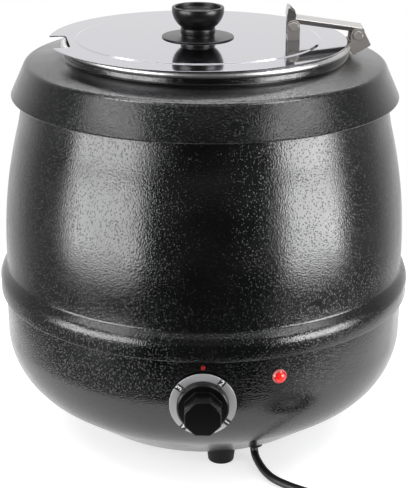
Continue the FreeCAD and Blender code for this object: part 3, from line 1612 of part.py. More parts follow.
half_turns = round(value("coil_turns") * 2) * 2 + 1
stations = [i / 8 for i in range(half_turns * 4 + 1)]
centre_line = [coil_point(t) for t in stations]
headings = []
for t in stations:
    early = coil_point(max(t - 0.001, 0))
    late = coil_point(min(t + 0.001, stations[-1]))
    headings.append((late - early).normalize())
headings[0] = FreeCAD.Vector(1, 0, 0)
headings[-1] = FreeCAD.Vector(-1, 0, 0)
coil_edges = [Part.LineSegment(vector(*coil_start), centre_line[0]).toShape()]
for i in range(len(stations) - 1):
    coil_edges += biarc(centre_line[i], headings[i], centre_line[i + 1], headings[i + 1])
coil_stop = centre_line[-1] - X_AXIS * value("2 * cord_radius")
coil_edges.append(Part.LineSegment(centre_line[-1], coil_stop).toShape())
samples = [coil_point(i / 96) for i in range(int(half_turns * 48) + 1)]
clear = min(
    (a - b).Length
    for i, a in enumerate(samples)
    for b in samples[i + 40 :]
)
print("cord_coil gap", f"{clear - value('2 * cord_radius'):.2f}", end=" ")
print("length", f"{Part.Wire(coil_edges).Length:.0f}")
coil = sweep("cord_coil", coil_edges, value("cord_radius"))
node(coil, "cord_coil")

# Flat tie round the coil.
coil_hole = f"(coil_radius - (coil_turns + 1 / 8) * {PITCH} - cord_radius)"
tie_in = f"(sqrt({coil_hole} ^ 2 - (tie_width / 2) ^ 2) - tie_gap)"
tie_out = f"(coil_radius - {PITCH} / 4 + cord_radius + tie_gap)"
tie_low = f"({COIL_Z} - cord_radius - tie_gap)"
tie_high = f"({COIL_Z} + {LAYER} + cord_radius + tie_gap)"
tie = new_body("cord_tie")
tie_loop = sketch_on(tie, "XZ_Plane", "tie_loop")
for grow in ("0", "tie_sheet"):
    draw(
        tie_loop,
        [
            (f"{tie_in} - {grow}", f"{tie_low} - {grow}"),
            (f"{tie_out} + {grow}", f"{tie_low} - {grow}"),
            (f"{tie_out} + {grow}", f"{tie_high} + {grow}"),
            (f"{tie_in} - {grow}", f"{tie_high} + {grow}"),
        ],
    )
pad(tie, tie_loop, "tie_width", both=True)
place(tie, COIL_X, COIL_Y)
node(tie, "cord_tie")

# The lead from the coil to the plug, and the plug.
LEAD_Z = f"({COIL_Z} + {LAYER})"
lead_y = f"({COIL_Y} - coil_radius)"
plug_x = f"({COIL_X} - 51.6)"
plug_y = f"({lead_y} - 7.3)"
plug_dx = "14"
plug_dy = "4.5"
lead = tube(
    "plug_lead",
    [
        (f"{COIL_X} - 2 * cord_radius", lead_y, LEAD_Z),
        (f"{COIL_X} - 22.6", lead_y, LEAD_Z),
        (f"{plug_x} + {plug_dx}", f"{plug_y} + {plug_dy}", LEAD_Z),
        (plug_x, plug_y, LEAD_Z),
    ],
    "cord_radius",
)
node(lead, "plug_lead")
plug_half = f"({LEAD_Z} - 0.1)"
plug_heading = FreeCAD.Rotation(X_AXIS, FreeCAD.Vector(-value(plug_dx), -value(plug_dy), 0))
plug_stand = FreeCAD.Rotation(Y_AXIS, 90)


def plug_piece(obj):
    """Turns a piece made along Z to lie along the plug, its X upright, from the cord's end."""
    obj.Placement = FreeCAD.Placement(FreeCAD.Vector(), plug_heading.multiply(plug_stand))
    for letter, text in zip("xyz", (plug_x, plug_y, LEAD_Z)):
        drive(obj, f"Placement.Base.{letter}", text)


plug = new_body("mains_plug")
plug_face = sketch_on(plug, "XY_Plane", "plug_face", lift="plug_relief")
side_a = f"{plug_half}"
side_b = "plug_width / 2"
draw(
    plug_face,
    [
        (f"-1 * {side_a}", f"plug_round - {side_b}"),
        (f"plug_round - {side_a}", f"-1 * {side_b}"),
        (f"{side_a} - plug_round", f"-1 * {side_b}"),
        (side_a, f"plug_round - {side_b}"),
        (side_a, f"{side_b} - plug_round"),
        (f"{side_a} - plug_round", side_b),
        (f"plug_round - {side_a}", side_b),
        (f"-1 * {side_a}", f"{side_b} - plug_round"),
    ],
    {0: ("plug_round", 1), 2: ("plug_round", 1), 4: ("plug_round", 1), 6: ("plug_round", 1)},
)
pad(plug, plug_face, "plug_length")
relief = sketch_on(plug, "XZ_Plane", "plug_relief_outline")
draw(
    relief,
    [
        ("0", "0"),
        ("plug_relief_start", "0"),
        ("plug_relief_end", "plug_relief + 2"),
        ("0", "plug_relief + 2"),
    ],
)
relief_turn = plug.newObject("PartDesign::Revolution", "plug_relief_turned")
relief_turn.Profile = relief
relief_turn.ReferenceAxis = (relief, ["V_Axis"])
relief_turn.Angle = 360
plug_piece(plug)
node(plug, "mains_plug")
pin_face = "(plug_relief + plug_length)"
turn = plug_heading.multiply(plug_stand)


def plug_pin(obj, x, y):
    """Stands a pin on the plug's face."""
    spot = vector(plug_x, plug_y, LEAD_Z) + turn.multVec(vector(x, y, pin_face))
    obj.Placement = FreeCAD.Placement(spot, turn)
    return obj


contacts = []
for label, side in (("near", "-1"), ("far", "1")):
    blade = block(f"blade_{label}", "blade_width", "blade_sheet", "blade_length", "0", "0", "0")
    for letter in "xyz":
        blade.setExpression(f"Placement.Base.{letter}", None)
    edge = f"{side} * blade_spacing / 2 - blade_sheet / 2"
    contacts.append(plug_pin(blade, "-1 * blade_offset - blade_width / 2", edge))
earth_pin = doc.addObject("Part::Cylinder", "earth_pin")
drive(earth_pin, "Radius", "earth_pin_radius")
drive(earth_pin, "Height", "earth_pin_length")
contacts.append(plug_pin(earth_pin, "earth_pin_offset", "0"))
group("plug_pins", contacts)

doc.recompute()
for obj in doc.Objects:
    if "Invalid" in obj.State or "Error" in obj.State:
        raise RuntimeError(f"{obj.Name} failed: {obj.State}")
for obj in NODES:
    if obj.Shape.isNull() or not obj.Shape.isValid() or not obj.Shape.Solids:
        raise RuntimeError(f"{obj.Label} has no valid solid")
os.makedirs("parts", exist_ok=True)
for obj in NODES:
    obj.Shape.exportStep(f"parts/{obj.Label}.step")
print(len(NODES), "nodes")
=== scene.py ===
"""Soup kettle: finishes, rounded edges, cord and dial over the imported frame.

Metres, in the frame's own axes: +Z up, the control faces -Y, the lid's hinge is on the +X side.
Outlines and routes are written in millimetres.
"""

import json
import math

import bpy
from mathutils import Matrix, Vector

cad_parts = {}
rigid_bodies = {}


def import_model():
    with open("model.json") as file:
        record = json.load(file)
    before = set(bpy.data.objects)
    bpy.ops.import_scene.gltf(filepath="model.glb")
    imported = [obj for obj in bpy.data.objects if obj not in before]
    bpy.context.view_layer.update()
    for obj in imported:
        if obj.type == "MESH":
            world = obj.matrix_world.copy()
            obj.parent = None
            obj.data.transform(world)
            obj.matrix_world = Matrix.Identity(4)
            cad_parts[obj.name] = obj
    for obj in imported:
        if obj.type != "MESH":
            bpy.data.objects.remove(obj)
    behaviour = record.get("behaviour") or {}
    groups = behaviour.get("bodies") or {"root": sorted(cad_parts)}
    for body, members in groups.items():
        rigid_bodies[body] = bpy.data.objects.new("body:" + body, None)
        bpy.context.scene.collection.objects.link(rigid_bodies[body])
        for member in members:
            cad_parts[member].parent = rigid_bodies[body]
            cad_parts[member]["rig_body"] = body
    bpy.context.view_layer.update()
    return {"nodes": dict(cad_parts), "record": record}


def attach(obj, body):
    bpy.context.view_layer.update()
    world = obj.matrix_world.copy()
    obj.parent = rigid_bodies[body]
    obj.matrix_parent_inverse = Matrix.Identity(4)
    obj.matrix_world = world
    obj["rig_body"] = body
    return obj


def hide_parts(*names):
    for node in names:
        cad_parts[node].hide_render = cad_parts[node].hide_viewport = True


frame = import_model()
nodes = frame["nodes"]
slot_of = {part["node"]: part["material_slot"] for part in frame["record"]["subparts"]}
MM = 0.001


def alone(obj=None):
    """Object mode with nothing selected, or with one object selected and active."""
    if bpy.context.mode != "OBJECT":
        bpy.ops.object.mode_set(mode="OBJECT")
    bpy.ops.object.select_all(action="DESELECT")
    if obj is not None:
        obj.select_set(True)
        bpy.context.view_layer.objects.active = obj


# Camera, at the height and tilt that the photograph was taken from.
alone()
bpy.ops.object.camera_add()
camera = bpy.context.object
camera.matrix_world = (
    Matrix.Translation((0, -1.049, 0.547))
    @ Matrix.Rotation(math.radians(69.55), 4, "X")
    @ Matrix.Rotation(math.radians(0.4), 4, "Z")
)
camera.data.sensor_fit = "VERTICAL"
camera.data.sensor_height = 36
camera.data.lens = 97.97
bpy.context.scene.camera = camera
bpy.context.scene.view_settings.view_transform = "Standard"


def flex(name, routes, radius):
    """A round flexible line along the points of each route, which are its spline's control points."""
    curve = bpy.data.curves.new(name, "CURVE")
    curve.dimensions = "3D"
    curve.bevel_depth = 1
    curve.bevel_resolution = 5
    curve.use_fill_caps = True
    for route in routes:
        spline = curve.splines.new("NURBS")
        spline.points.add(len(route) - 1)
        for point, spot in zip(spline.points, route):
            point.co = (*(Vector(spot) * MM), 1)
            point.radius = radius * MM
        spline.order_u = 3
        spline.use_endpoint_u = True
        spline.resolution_u = 6
        spline.use_smooth = True
    obj = bpy.data.objects.new(name, curve)
    bpy.context.scene.collection.objects.link(obj)
    return obj


def coil_spot(turns):
    """A point of the coil: three turns in on the floor, half a turn up, three turns out on top."""
    angle = math.radians(90 - 360 * turns)
    after = turns - 3
    radius = 46.6 - 7.2 * turns
    climb = 0
    if after > 0:
        radius = 25 - 7.2 * after * (1 - 2 * after)
        climb = (2 * after) ** 2 * (3 - 4 * after)
    if after >= 0.5:
        radius = 25 + 7.2 * (after - 0.5)
        climb = 1
    return (144.6 + radius * math.cos(angle), -204.6 + radius * math.sin(angle), 4.5 + 7.1 * climb)


# Mains cord: out of the bushing, over the floor to the right, into its coil and out to the plug.
gland = (42.22, -82.86)
cord_route = [
    (*gland, 14),
    (*gland, 7.8),
    (43.2, -87.2, 3.4),
    (45.6, -98.6, 3.4),
    (49.5, -112, 3.4),
    (56, -124.5, 3.4),
    (66.5, -134, 3.4),
    (79.5, -143, 3.4),
    (94, -150.5, 3.4),
    (109.5, -155.5, 3.7),
    (124, -158, 4.5),
    (138, -158, 4.5),
]
cord_route += [coil_spot(step / 16) for step in range(105)]
cord_route += [
    (138, -251.2, 11.6),
    (122, -251.2, 11.6),
    (107, -254, 11.6),
    (93, -258.5, 11.6),
]
cord = flex("mains_lead", [cord_route], 3.3)


def paint(code):
    """An sRGB hex colour as linear red, green, blue and alpha."""
    parts = [int(code[i : i + 2], 16) / 255 for i in (1, 3, 5)]
    return (*(c / 12.92 if c < 0.04045 else ((c + 0.055) / 1.055) ** 2.4 for c in parts), 1)


def add(tree, kind, inputs=None, **settings):
    """Adds a node with its settings, and sets or links its inputs."""
    made = tree.nodes.new(kind)
    for name, setting in settings.items():
        setattr(made, name, setting)
    for socket, source in (inputs or {}).items():
        if isinstance(source, bpy.types.NodeSocket):
            tree.links.new(source, made.inputs[socket])
        else:
            made.inputs[socket].default_value = source
    return made


def finish_of(name, colour, **sockets):
    """A material with its own shader set, and its node tree, shader and object coordinates."""
    material = bpy.data.materials.new(name)
    material.use_nodes = True
    tree = material.node_tree
    shader = tree.nodes["Principled BSDF"]
    shader.inputs["Base Color"].default_value = paint(colour)
    for socket, setting in sockets.items():
        shader.inputs[socket.replace("_", " ").title().replace("Ior", "IOR")].default_value = setting
    spots = add(tree, "ShaderNodeTexCoord").outputs["Object"]
    return material, tree, shader, spots


# Powder-coated steel, sprayed and baked: semi-gloss black with a faint orange peel of a millimetre,
# and grains about 2 mm apart that pepper a highlight with dark specks and the dark beside it with
# bright ones.
enamel, tree, shader, spots = finish_of("powder_coated_steel", "#050506", roughness=0.2, ior=1.6)
flow = add(tree, "ShaderNodeTexNoise", {"Vector": spots, "Scale": 1 / 0.0011, "Detail": 0})
peel = add(tree, "ShaderNodeBump", {"Height": flow.outputs["Fac"], "Strength": 0.4, "Distance": 0.0003})
cells = add(tree, "ShaderNodeTexVoronoi", {"Vector": spots, "Scale": 1 / 0.0016})
grain = add(
    tree,
    "ShaderNodeMapRange",
    {"Value": cells.outputs["Distance"], "From Min": 0.08, "From Max": 0.38, "To Min": 1, "To Max": 0},
    interpolation_type="SMOOTHSTEP",
)
specks = add(
    tree,
    "ShaderNodeBump",
    {
        "Height": grain.outputs["Result"],
        "Strength": 1,
        "Distance": 0.0001,
        "Normal": peel.outputs["Normal"],
    },
)
drift = add(tree, "ShaderNodeTexNoise", {"Vector": spots, "Scale": 1 / 0.03, "Detail": 2})
dull = add(
    tree,
    "ShaderNodeMapRange",
    {"Value": drift.outputs["Fac"], "From Min": 0.3, "From Max": 0.7, "To Min": 0.15, "To Max": 0.24},
)
tree.links.new(dull.outputs["Result"], shader.inputs["Roughness"])
tree.links.new(specks.outputs["Normal"], shader.inputs["Normal"])

# Polished stainless sheet: a cool mirror, with a faint wave from pressing about 50 mm long and
# patches where wiping has dulled it.
mirror, tree, shader, spots = finish_of("polished_stainless_steel", "#bebdc3", metallic=1, roughness=0.06)
wipe = add(tree, "ShaderNodeTexNoise", {"Vector": spots, "Scale": 1 / 0.035, "Detail": 4, "Distortion": 0.6})
dull = add(
    tree,
    "ShaderNodeMapRange",
    {"Value": wipe.outputs["Fac"], "From Min": 0.35, "From Max": 0.75, "To Min": 0.04, "To Max": 0.1},
)
wave = add(tree, "ShaderNodeTexNoise", {"Vector": spots, "Scale": 1 / 0.05, "Detail": 0})
press = add(tree, "ShaderNodeBump", {"Height": wave.outputs["Fac"], "Strength": 0.12, "Distance": 0.001})
tree.links.new(dull.outputs["Result"], shader.inputs["Roughness"])
tree.links.new(press.outputs["Normal"], shader.inputs["Normal"])

# Drawn stainless steel, as the pot is: satin, with fine upright draw lines drawn 1 mm apart so
# that they show.
pot_steel, tree, shader, spots = finish_of("drawn_stainless_steel", "#c9c8c8", metallic=1, roughness=0.2)
along = add(tree, "ShaderNodeMapping", {"Vector": spots, "Scale": (1000, 1000, 25)})
lines = add(tree, "ShaderNodeTexNoise", {"Vector": along.outputs["Vector"], "Scale": 1, "Detail": 2})
dull = add(tree, "ShaderNodeMapRange", {"Value": lines.outputs["Fac"], "To Min": 0.3, "To Max": 0.46})
draw = add(tree, "ShaderNodeBump", {"Height": lines.outputs["Fac"], "Strength": 0.05, "Distance": 0.0002})
tree.links.new(dull.outputs["Result"], shader.inputs["Roughness"])
tree.links.new(draw.outputs["Normal"], shader.inputs["Normal"])

# Brushed stainless strip, cut and folded for the hinge: grey with a long grain along the arm, its
# lines drawn 0.5 mm apart.
strip, tree, shader, spots = finish_of("brushed_stainless_strip", "#b9b7b5", metallic=1, roughness=0.28)
along = add(tree, "ShaderNodeMapping", {"Vector": spots, "Scale": (60, 2000, 2000)})
lines = add(tree, "ShaderNodeTexNoise", {"Vector": along.outputs["Vector"], "Scale": 1, "Detail": 3})
tone = add(tree, "ShaderNodeMapRange", {"Value": lines.outputs["Fac"], "To Min": 0.2, "To Max": 0.4})
brush = add(tree, "ShaderNodeBump", {"Height": lines.outputs["Fac"], "Strength": 0.15, "Distance": 0.0001})
tree.links.new(tone.outputs["Result"], shader.inputs["Roughness"])
tree.links.new(brush.outputs["Normal"], shader.inputs["Normal"])

# Tumbled stainless pressings of the hinge, with their pins and rivets: matt warm grey, pitted by the
# stones in marks of about 0.8 mm.
tumbled, tree, shader, spots = finish_of("tumbled_stainless_steel", "#a8a4a0", metallic=0.7, roughness=0.4)
pits = add(tree, "ShaderNodeTexNoise", {"Vector": spots, "Scale": 1 / 0.0008, "Detail": 3})
dull = add(tree, "ShaderNodeMapRange", {"Value": pits.outputs["Fac"], "To Min": 0.28, "To Max": 0.52})
stone = add(tree, "ShaderNodeBump", {"Height": pits.outputs["Fac"], "Strength": 0.3, "Distance": 0.00012})
tree.links.new(dull.outputs["Result"], shader.inputs["Roughness"])
tree.links.new(stone.outputs["Normal"], shader.inputs["Normal"])

# Zinc-plated steel fasteners: blue-grey, slightly cloudy.
zinc, tree, shader, spots = finish_of("zinc_plated_steel", "#a9adb2", metallic=1, roughness=0.35)
cloud = add(tree, "ShaderNodeTexNoise", {"Vector": spots, "Scale": 1 / 0.002, "Detail": 3})
dull = add(tree, "ShaderNodeMapRange", {"Value": cloud.outputs["Fac"], "To Min": 0.25, "To Max": 0.5})
tree.links.new(dull.outputs["Result"], shader.inputs["Roughness"])

# Moulded phenolic plastic: near-black, polished by the mould, with a faint flow unevenness.
phenolic, tree, shader, spots = finish_of("moulded_phenolic", "#0c0c0d", roughness=0.3, ior=1.5)
flow = add(tree, "ShaderNodeTexNoise", {"Vector": spots, "Scale": 1 / 0.004, "Detail": 3})
dull = add(tree, "ShaderNodeMapRange", {"Value": flow.outputs["Fac"], "To Min": 0.24, "To Max": 0.38})
sink = add(tree, "ShaderNodeBump", {"Height": flow.outputs["Fac"], "Strength": 0.08, "Distance": 0.0003})
tree.links.new(dull.outputs["Result"], shader.inputs["Roughness"])
tree.links.new(sink.outputs["Normal"], shader.inputs["Normal"])

# Satin moulded plastic of the control grip: a fine spark-eroded mould texture of 0.4 mm.
grip_black, tree, shader, spots = finish_of("satin_moulded_plastic", "#070708", roughness=0.24, specular_ior_level=0.25)
spark = add(tree, "ShaderNodeTexNoise", {"Vector": spots, "Scale": 1 / 0.0004, "Detail": 2})
mould = add(tree, "ShaderNodeBump", {"Height": spark.outputs["Fac"], "Strength": 0.2, "Distance": 0.00008})
tree.links.new(mould.outputs["Normal"], shader.inputs["Normal"])

# Anodised aluminium dial: pale grey, brushed in one direction.
dial_metal, tree, shader, spots = finish_of("anodised_aluminium", "#b9b9bb", metallic=0.6, roughness=0.4)
along = add(tree, "ShaderNodeMapping", {"Vector": spots, "Scale": (50, 1, 2500)})
lines = add(tree, "ShaderNodeTexNoise", {"Vector": along.outputs["Vector"], "Scale": 1, "Detail": 2})
dull = add(tree, "ShaderNodeMapRange", {"Value": lines.outputs["Fac"], "To Min": 0.28, "To Max": 0.46})
tree.links.new(dull.outputs["Result"], shader.inputs["Roughness"])

# Tinted polycarbonate lens, lit from behind, with light painted into its red by distance from the dome's top in
# millimetres: a painted glow in the middle of the dome, a darker ring of painted shade and a pale rim that is a painted
# highlight.
lens_red, tree, shader, spots = finish_of(
    "red_polycarbonate", "#e01a14", roughness=0.1, ior=1.58, emission_strength=0.12
)
shader.inputs["Emission Color"].default_value = paint("#f02418")
reach = add(tree, "ShaderNodeVectorMath", {0: spots, 1: (0.05831, -0.16022, 0.1094)}, operation="DISTANCE")
painted_light_spread = add(tree, "ShaderNodeMapRange", {"Value": reach.outputs["Value"], "From Max": 0.0072})
# The ramp paints light: glowing red in the middle, dark red painted shade, then a pale pink painted highlight at the
# rim.
tint = add(tree, "ShaderNodeValToRGB", {"Fac": painted_light_spread.outputs["Result"]})
tint.color_ramp.elements[0].color = paint("#f5281e")
tint.color_ramp.elements[1].color = paint("#b59a9a")
for place, code in ((0.5, "#e81d16"), (0.68, "#8c0d0c"), (0.86, "#cf6c68")):
    tint.color_ramp.elements.new(place).color = paint(code)
tree.links.new(tint.outputs["Color"], shader.inputs["Base Color"])
ribs = add(tree, "ShaderNodeTexNoise", {"Vector": spots, "Scale": 1 / 0.0015, "Detail": 1})
facet = add(tree, "ShaderNodeBump", {"Height": ribs.outputs["Fac"], "Strength": 0.15, "Distance": 0.0003})
tree.links.new(facet.outputs["Normal"], shader.inputs["Normal"])

# Red paint of the index pip: a dull brushed dab with thicker and thinner spots.
red_dot, tree, shader, spots = finish_of("red_paint", "#7d1214", roughness=0.45)
cover = add(tree, "ShaderNodeTexNoise", {"Vector": spots, "Scale": 1 / 0.001, "Detail": 1})
tint = add(tree, "ShaderNodeValToRGB", {"Fac": cover.outputs["Fac"]})
tint.color_ramp.elements[0].color = paint("#5c0c0e")
tint.color_ramp.elements[1].color = paint("#9a1e20")
tree.links.new(tint.outputs["Color"], shader.inputs["Base Color"])

# Sheathed heater tube: stainless gone straw and grey with heat in bands about 20 mm wide.
heater_steel, tree, shader, spots = finish_of("heat_tinted_steel", "#77706a", metallic=1, roughness=0.42)
heat = add(tree, "ShaderNodeTexNoise", {"Vector": spots, "Scale": 1 / 0.02, "Detail": 3})
tint = add(tree, "ShaderNodeValToRGB", {"Fac": heat.outputs["Fac"]})
tint.color_ramp.elements[0].color = paint("#5d5a5c")
tint.color_ramp.elements[1].color = paint("#94836c")
tree.links.new(tint.outputs["Color"], shader.inputs["Base Color"])

# Spun aluminium well: pale and satin, its turning lines drawn 1.5 mm apart.
aluminium, tree, shader, spots = finish_of("spun_aluminium", "#c3c5c8", metallic=1, roughness=0.36)
along = add(tree, "ShaderNodeMapping", {"Vector": spots, "Scale": (20, 20, 700)})
lines = add(tree, "ShaderNodeTexNoise", {"Vector": along.outputs["Vector"], "Scale": 1, "Detail": 2})
dull = add(tree, "ShaderNodeMapRange", {"Value": lines.outputs["Fac"], "To Min": 0.28, "To Max": 0.48})
tree.links.new(dull.outputs["Result"], shader.inputs["Roughness"])

# Brass and copper: warm metal with a thin tarnish in blotches of about 3 mm.
brass, tree, shader, spots = finish_of("tarnished_brass", "#b08d4f", metallic=1, roughness=0.3)
blotch = add(tree, "ShaderNodeTexNoise", {"Vector": spots, "Scale": 1 / 0.003, "Detail": 3})
tint = add(tree, "ShaderNodeValToRGB", {"Fac": blotch.outputs["Fac"]})
tint.color_ramp.elements[0].color = paint("#97743f")
tint.color_ramp.elements[1].color = paint("#c6a463")
tree.links.new(tint.outputs["Color"], shader.inputs["Base Color"])

# White nylon of terminals and wire jackets: matt, a little yellowed in patches.
nylon, tree, shader, spots = finish_of("white_nylon", "#d9d6cc", roughness=0.5)
patch = add(tree, "ShaderNodeTexNoise", {"Vector": spots, "Scale": 1 / 0.01, "Detail": 2})
tint = add(tree, "ShaderNodeValToRGB", {"Fac": patch.outputs["Fac"]})
tint.color_ramp.elements[0].color = paint("#cfcabb")
tint.color_ramp.elements[1].color = paint("#e2e0d8")
tree.links.new(tint.outputs["Color"], shader.inputs["Base Color"])

# Dark filled plastic of switches and the cord's tie: matt, with a 0.6 mm mould grain.
filled_plastic, tree, shader, spots = finish_of("filled_dark_plastic", "#1a1a1b", roughness=0.55)
grit = add(tree, "ShaderNodeTexNoise", {"Vector": spots, "Scale": 1 / 0.0006, "Detail": 2})
mould = add(tree, "ShaderNodeBump", {"Height": grit.outputs["Fac"], "Strength": 0.25, "Distance": 0.0001})
tree.links.new(mould.outputs["Normal"], shader.inputs["Normal"])

# Moulded rubber: dull black with a dusty bloom in patches of about 8 mm.
rubber, tree, shader, spots = finish_of("moulded_rubber", "#0c0c0c", roughness=0.55, specular_ior_level=0.2)
bloom = add(tree, "ShaderNodeTexNoise", {"Vector": spots, "Scale": 1 / 0.008, "Detail": 4})
dust = add(tree, "ShaderNodeValToRGB", {"Fac": bloom.outputs["Fac"]})
dust.color_ramp.elements[0].color = paint("#090909")
dust.color_ramp.elements[1].color = paint("#141414")
tree.links.new(dust.outputs["Color"], shader.inputs["Base Color"])

# PVC cord jacket: satin black, extruded, with handling marks every few millimetres.
jacket, tree, shader, spots = finish_of("extruded_pvc", "#141414", roughness=0.4)
marks = add(tree, "ShaderNodeTexNoise", {"Vector": spots, "Scale": 1 / 0.004, "Detail": 3})
dull = add(tree, "ShaderNodeMapRange", {"Value": marks.outputs["Fac"], "To Min": 0.32, "To Max": 0.52})
tree.links.new(dull.outputs["Result"], shader.inputs["Roughness"])

# Screen-printing ink, in black and in white: flat colour with slightly uneven cover.
inks = {}
for ink_name, code, thin in (("black_ink", "#151515", "#2a2a2a"), ("white_ink", "#f0f0f0", "#dcdcdc")):
    inks[ink_name], tree, shader, spots = finish_of(ink_name, code, roughness=0.5)
    cover = add(tree, "ShaderNodeTexNoise", {"Vector": spots, "Scale": 1 / 0.0008, "Detail": 2})
    tint = add(tree, "ShaderNodeValToRGB", {"Fac": cover.outputs["Fac"]})
    tint.color_ramp.elements[0].color = paint(thin)
    tint.color_ramp.elements[1].color = paint(code)
    tree.links.new(tint.outputs["Color"], shader.inputs["Base Color"])

FINISH = {
    "enamel": enamel,
    "polished_steel": mirror,
    "pot_steel": pot_steel,
    "hinge_steel": strip,
    "fastener_steel": zinc,
    "black_plastic": phenolic,
    "dial_metal": dial_metal,
    "red_lens": lens_red,
    "heater_steel": heater_steel,
    "well_aluminium": aluminium,
    "copper_alloy": brass,
    "white_plastic": nylon,
    "dark_plastic": filled_plastic,
    "black_rubber": rubber,
    "cord_jacket": jacket,
}
for name, obj in nodes.items():
    obj.data.materials.clear()
    obj.data.materials.append(red_dot if name == "index_pip" else FINISH[slot_of[name]])


def stand_for(piece, *names, finish=None):
    """The piece takes the place of CAD nodes: it rides on their body and has their slot."""
    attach(piece, nodes[names[0]]["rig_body"])
    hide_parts(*names)
    dress(piece, slot_of[names[0]], finish)


def dress(piece, slot, finish=None):
    piece.data.materials.clear()
    piece.data.materials.append(finish or FINISH[slot])


def pick(obj, kind, test):
    """Selects the piece's vertices, edges or faces whose middle, in millimetres, passes the test."""
    bpy.ops.object.mode_set(mode="EDIT")
    bpy.ops.mesh.select_mode(type=kind)
    bpy.ops.mesh.select_all(action="DESELECT")
    bpy.ops.object.mode_set(mode="OBJECT")
    mesh = obj.data
    if kind == "VERT":
        for vertex in mesh.vertices:
            vertex.select = test((obj.matrix_world @ vertex.co) / MM)
    elif kind == "EDGE":
        for edge in mesh.edges:
            ends = [obj.matrix_world @ mesh.vertices[i].co for i in edge.vertices]
            edge.select = test((ends[0] + ends[1]) / 2 / MM)
    else:
        for face in mesh.polygons:
            face.select = test((obj.matrix_world @ face.center) / MM)
    bpy.ops.object.mode_set(mode="EDIT")


def settle(obj, angle=35):
    """Puts the piece's place into its mesh and smooths all but its sharp edges."""
    alone(obj)
    bpy.ops.object.transform_apply(location=True, rotation=True, scale=True)
    bpy.ops.object.shade_smooth_by_angle(angle=math.radians(angle))
    return obj


def arc(x, z, radius, first, last, steps):
    """Points of an outline along an arc, its angles in degrees from outwards."""
    spots = []
    for i in range(steps + 1):
        angle = math.radians(first + (last - first) * i / steps)
        spots.append((x + radius * math.cos(angle), z + radius * math.sin(angle)))
    return spots


def turned(name, outline, x=0, y=0, steps=160):
    """A piece spun about an upright axis from an outline of radius and height.

    A third number on a point is how far its rounding reaches along the outline.
    """
    alone()
    start = Vector((x + outline[0][0], y, outline[0][1])) * MM
    bpy.ops.mesh.primitive_plane_add(size=MM, location=start)
    obj = bpy.context.object
    obj.name = name
    bpy.ops.object.mode_set(mode="EDIT")
    bpy.ops.mesh.select_all(action="SELECT")
    bpy.ops.mesh.merge(type="CENTER")
    closed = outline[0][0] > 0 or outline[-1][0] > 0
    stops = outline[1:] + outline[:1] if closed else outline[1:]
    for before, after in zip(outline, stops):
        step = ((after[0] - before[0]) * MM, 0, (after[1] - before[1]) * MM)
        bpy.ops.mesh.extrude_region_move(TRANSFORM_OT_translate={"value": step})
    bpy.ops.mesh.select_all(action="SELECT")
    bpy.ops.mesh.remove_doubles(threshold=1e-6)
    for reach in sorted({p[2] for p in outline if len(p) == 3}):
        corners = [Vector((x + p[0], y, p[1])) for p in outline if len(p) == 3 and p[2] == reach]
        pick(obj, "VERT", lambda spot: any((spot - corner).length < 0.002 for corner in corners))
        bpy.ops.mesh.bevel(offset=reach * MM, affect="VERTICES", segments=4)
    bpy.ops.mesh.select_all(action="SELECT")
    bpy.ops.mesh.spin(steps=steps, angle=2 * math.pi, center=(x * MM, y * MM, 0), axis=(0, 0, 1))
    bpy.ops.mesh.select_all(action="SELECT")
    bpy.ops.mesh.remove_doubles(threshold=4e-6)
    bpy.ops.mesh.normals_make_consistent(inside=False)
    return settle(obj)


def softened(name, node, width, segments=3, angle=40, corners=()):
    """A copy of a CAD node's shape with its cut and moulded edges rounded over.

    Corners are the x, z and reach of edges along Y that are rounded more.
    """
    alone(nodes[node])
    bpy.ops.object.duplicate()
    obj = bpy.context.object
    obj.name = name
    for key in list(obj.keys()):
        del obj[key]
    obj.parent = None
    bpy.ops.mesh.customdata_custom_splitnormals_clear()
    bpy.ops.object.mode_set(mode="EDIT")
    bpy.ops.mesh.select_all(action="SELECT")
    bpy.ops.mesh.remove_doubles(threshold=1e-6)
    bpy.ops.mesh.dissolve_limited(angle_limit=math.radians(0.5))
    for x, z, reach in corners:
        pick(obj, "EDGE", lambda spot: abs(spot.x - x) < 0.1 and abs(spot.z - z) < 0.1)
        bpy.ops.mesh.bevel(offset=reach * MM, affect="EDGES", segments=5)
    bpy.ops.object.mode_set(mode="OBJECT")
    bpy.ops.object.modifier_add(type="BEVEL")
    edge = obj.modifiers[-1]
    edge.width = width * MM
    edge.segments = segments
    edge.limit_method = "ANGLE"
    edge.angle_limit = math.radians(angle)
    edge.harden_normals = True
    bpy.ops.object.shade_smooth()
    bpy.ops.object.modifier_apply(modifier=edge.name)
    return obj


# Upper shell: rib with rolled edges, short waist, barrel drawn in smoothly to the neck under the collar.
shell = turned(
    "kettle_shell",
    [
        (170, 126.3, 0.55),
        (170, 141, 4.2),
        (164.4, 148, 1.2),
        *arc(-219.83, 163, 384.23, 0, 14.73, 24),
        *arc(277.5, 293.75, 130, 194.73, 180, 12)[1:],
        (147.5, 303),
        (146.2, 306),
        (128, 306),
        (128, 304.8),
        (145.4, 304.8),
        (146.3, 302.7),
        (146.3, 290),
        *arc(-219.83, 163, 383.03, 14.73, 0, 12),
        (163.2, 147.6),
        (168.8, 140.6),
        (168.8, 126.3, 0.5),
    ],
)
stand_for(shell, "upper_shell")

# Top collar: skirt leaning in from its rolled hem, rounded edge, shoulder and the pot's lip.
collar = turned(
    "kettle_collar",
    [
        (143.7, 314.7, 2.6),
        (112.9, 319.8, 1.4),
        (112.9, 324.3, 0.4),
        (111.7, 324.3, 0.4),
        (111.7, 318.8),
        (142.9, 313.6),
        (152.6, 291.4),
        *arc(154.2, 289, 1.3, 180, 360, 8),
    ],
)
stand_for(collar, "top_collar")

# Lid: the sheet's cut edge eased, with the ladle notch and the pressed middle.
lid = softened("kettle_lid", "lid", 0.3, angle=10)
stand_for(lid, "lid")

